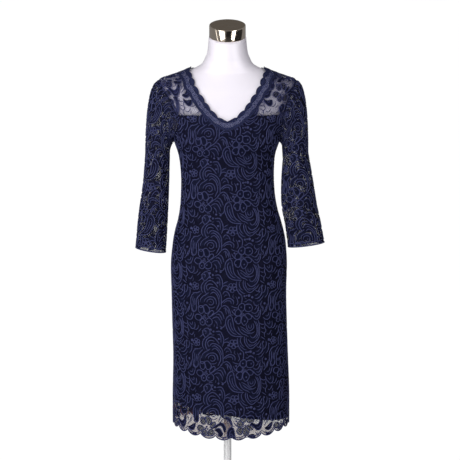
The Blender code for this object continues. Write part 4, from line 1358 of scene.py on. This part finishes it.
# ------------------------------------------------------- finishes and pieces
# Colours, linear.
NAVY_DEEP = (0.0035, 0.0040, 0.0150)
NAVY = (0.0085, 0.0105, 0.0315)
NAVY_MID = (0.0240, 0.0275, 0.0780)
NAVY_LIT = (0.0560, 0.0620, 0.1580)
NET_DEEP = (0.0040, 0.0045, 0.0140)
NET_LIT = (0.0110, 0.0115, 0.0320)
# Painted light: lighter blue on the net threads above the slip's top, for the lit white form seen through
# the net.
NET_YOKE_PAINTED_LIGHT = (0.0300, 0.0300, 0.1100)
# Painted light: warm tone on the net threads below the slip's hem, for the light seen through the net from
# behind.
NET_HEM_PAINTED_LIGHT = (0.0850, 0.0400, 0.0380)
INK = (0.0020, 0.0023, 0.0085)
INK_LIT = (0.0040, 0.0046, 0.0150)
TRIM_DARK = (0.010, 0.012, 0.037)
TRIM_DEEP = (0.022, 0.026, 0.075)
TRIM_MID = (0.034, 0.041, 0.105)
TRIM_LIT = (0.070, 0.082, 0.200)

net = net_material("lace_net", 0.0014, 0.68, NET_DEEP, NET_LIT, NET_YOKE_PAINTED_LIGHT, NET_HEM_PAINTED_LIGHT)
net_sleeve = net_material("sleeve_net", 0.0014, 0.80, NET_DEEP, NET_LIT)
sheer = net_material("petal_net", 0.0009, 0.80, NAVY_DEEP, NAVY)
clothwork = woven_material("lace_clothwork", NAVY_DEEP, NAVY, 0.0012)
cording = woven_material("lace_cording", NAVY_MID, NAVY_LIT, 0.0008, 0.55, 0.05)
seam_thread = woven_material("seam_thread", NAVY_DEEP, NAVY, 0.0006)
trim_net = net_material("trim_net", 0.0012, 0.78, TRIM_DEEP, TRIM_LIT)
trim_cloth = woven_material("trim_clothwork", TRIM_DARK, TRIM_MID, 0.0008)
trim_cord = woven_material("trim_cording", TRIM_DARK, TRIM_DEEP, 0.0006, 0.55, 0.05)
jersey = woven_material("slip_jersey", INK, INK_LIT, 0.0006, 0.75)
form_skin = plain_material("form_lacquer", (0.93, 0.885, 0.96), 0.42, 0.00005)
bronze_side = plain_material("bronze_polished", (0.60, 0.52, 0.43), 0.10, 0.00001, 1.0)
# Brushed top: its rougher finish is real, and its darker colour is painted shade on the same bronze as the
# side.
bronze_top_shaded = plain_material("bronze_brushed_shaded", (0.25, 0.195, 0.135), 0.42, 0.0001, 1.0)
paint = plain_material("stand_paint", (0.96, 0.96, 0.96), 0.35, 0.00005)
LACE = [clothwork, cording, sheer]

REPEAT = np.array([REPEAT_ACROSS, REPEAT_DOWN]) / 1000.0
BODY_CHART = body_chart()
NAMES = {FRONT: "front", BACK: "back"}


def make_slip(face):
    """Half panels of plain jersey up to a straight top edge, as one wall."""
    halves = {}
    for side in (LEFT, RIGHT):
        edge = cut_at(armhole(side, face), SLIP_TOP_Z)
        if face == FRONT:
            top = cut_at(neck_edge(side, face, True)[::-1], SLIP_TOP_Z)[::-1]
        else:
            top = np.array([locate(0.0, SLIP_TOP_Z, face)])
        halves[side] = half_panel(side, face, slip_hem, edge, top, 16, 41)
    name = "slip_" + NAMES[face]
    slip = panel(name + "_shell", face, halves, SLIP_DEPTH, jersey)
    wall = slip.modifiers.new("wall", "SOLIDIFY")
    wall.thickness = SLIP_WALL
    wall.use_even_offset = False
    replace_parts(slip, name)
    return slip


net_sheets = {}
for face in (FRONT, BACK):
    halves = {side: half_panel(side, face, lace_hem, armhole(side, face), neck_edge(side, face, True),
                               40, EDGE_STEPS + 1) for side in (LEFT, RIGHT)}
    net_sheets[face] = panel(NAMES[face] + "_net", face, halves, NET_DEPTH, net)
    net_sheets[face].visible_shadow = False
    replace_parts(net_sheets[face], "lace_" + NAMES[face])
slips = {face: make_slip(face) for face in (FRONT, BACK)}

# Lace and its cords over the front and back, with the seams between them.
dress_pieces = {}
for face, origin in ((FRONT, (0.041, -0.098)), (BACK, (0.020, -0.050))):
    lace = lay(NAMES[face] + "_lace", patches[face], BODY_CHART, REPEAT, np.array(origin),
               panel_outline(face), BODY_SCALE, LACE)
    angles = seam_to_seam(face, 2 * EDGE_STEPS + 1)
    hem = body_rope(NAMES[face] + "_hem_cord", lace_hem(angles), angles, NET_DEPTH, 0.0032, 0.0016,
                    cording)
    line = body_rope(NAMES[face] + "_hem_line", lace_hem(angles) + 0.062, angles, NET_DEPTH, 0.0024,
                     0.0014, cording)
    dress_pieces[face] = [lace, hem, line]
side_levels = np.linspace(float(lace_hem(0.0)) + 0.06, ARMPIT - 0.05, 110)
shoulder_levels = np.linspace(SHOULDER + 0.05, NECK_OUTER_SIDE - 0.05, 24)
for label, angle in (("left", 0.0), ("right", math.pi)):
    for kind, levels in (("_side_seam", side_levels), ("_shoulder_seam", shoulder_levels)):
        dress_pieces[FRONT].append(body_rope(label + kind, levels, angle, NET_DEPTH, 0.0030, 0.0012,
                                             seam_thread))

# Binding along the slip's top edge, and the stitch line above its hem.
slip_pieces = {FRONT: [], BACK: []}
for label, x_from, x_to, face in (("front_right", -0.1395, -0.0700, FRONT),
                                  ("front_left", 0.0700, 0.1500, FRONT),
                                  ("back", -0.1500, 0.1500, BACK)):
    path = np.array([locate(x, SLIP_TOP_Z - 0.0015, face) for x in np.linspace(x_from, x_to, 30)])
    slip_pieces[face].append(body_rope("slip_top_" + label, path[:, 0], path[:, 1], SLIP_DEPTH,
                                       0.0040, 0.0007, jersey))
for face in (FRONT, BACK):
    angles = seam_to_seam(face, 90)
    slip_pieces[face].append(body_rope("slip_hem_stitch_" + NAMES[face], slip_hem(angles) + 0.09, angles,
                                       SLIP_DEPTH, 0.0016, 0.0005, jersey))

right_sleeve = make_sleeve("right_sleeve", "sleeve_right", RIGHT, SLEEVE_RIGHT, (-0.030, 0.010))
left_sleeve = make_sleeve("left_sleeve", "sleeve_left", LEFT, SLEEVE_LEFT, (0.020, -0.040))
front_trim = make_trim("front_trim", FRONT, {LEFT: "trim_front_left", RIGHT: "trim_front_right"})
back_trim = make_trim("back_trim", BACK, {LEFT: "trim_back"})

make_form()
make_cap()
make_stand()
make_stage()
make_flag()
make_light()
make_camera()
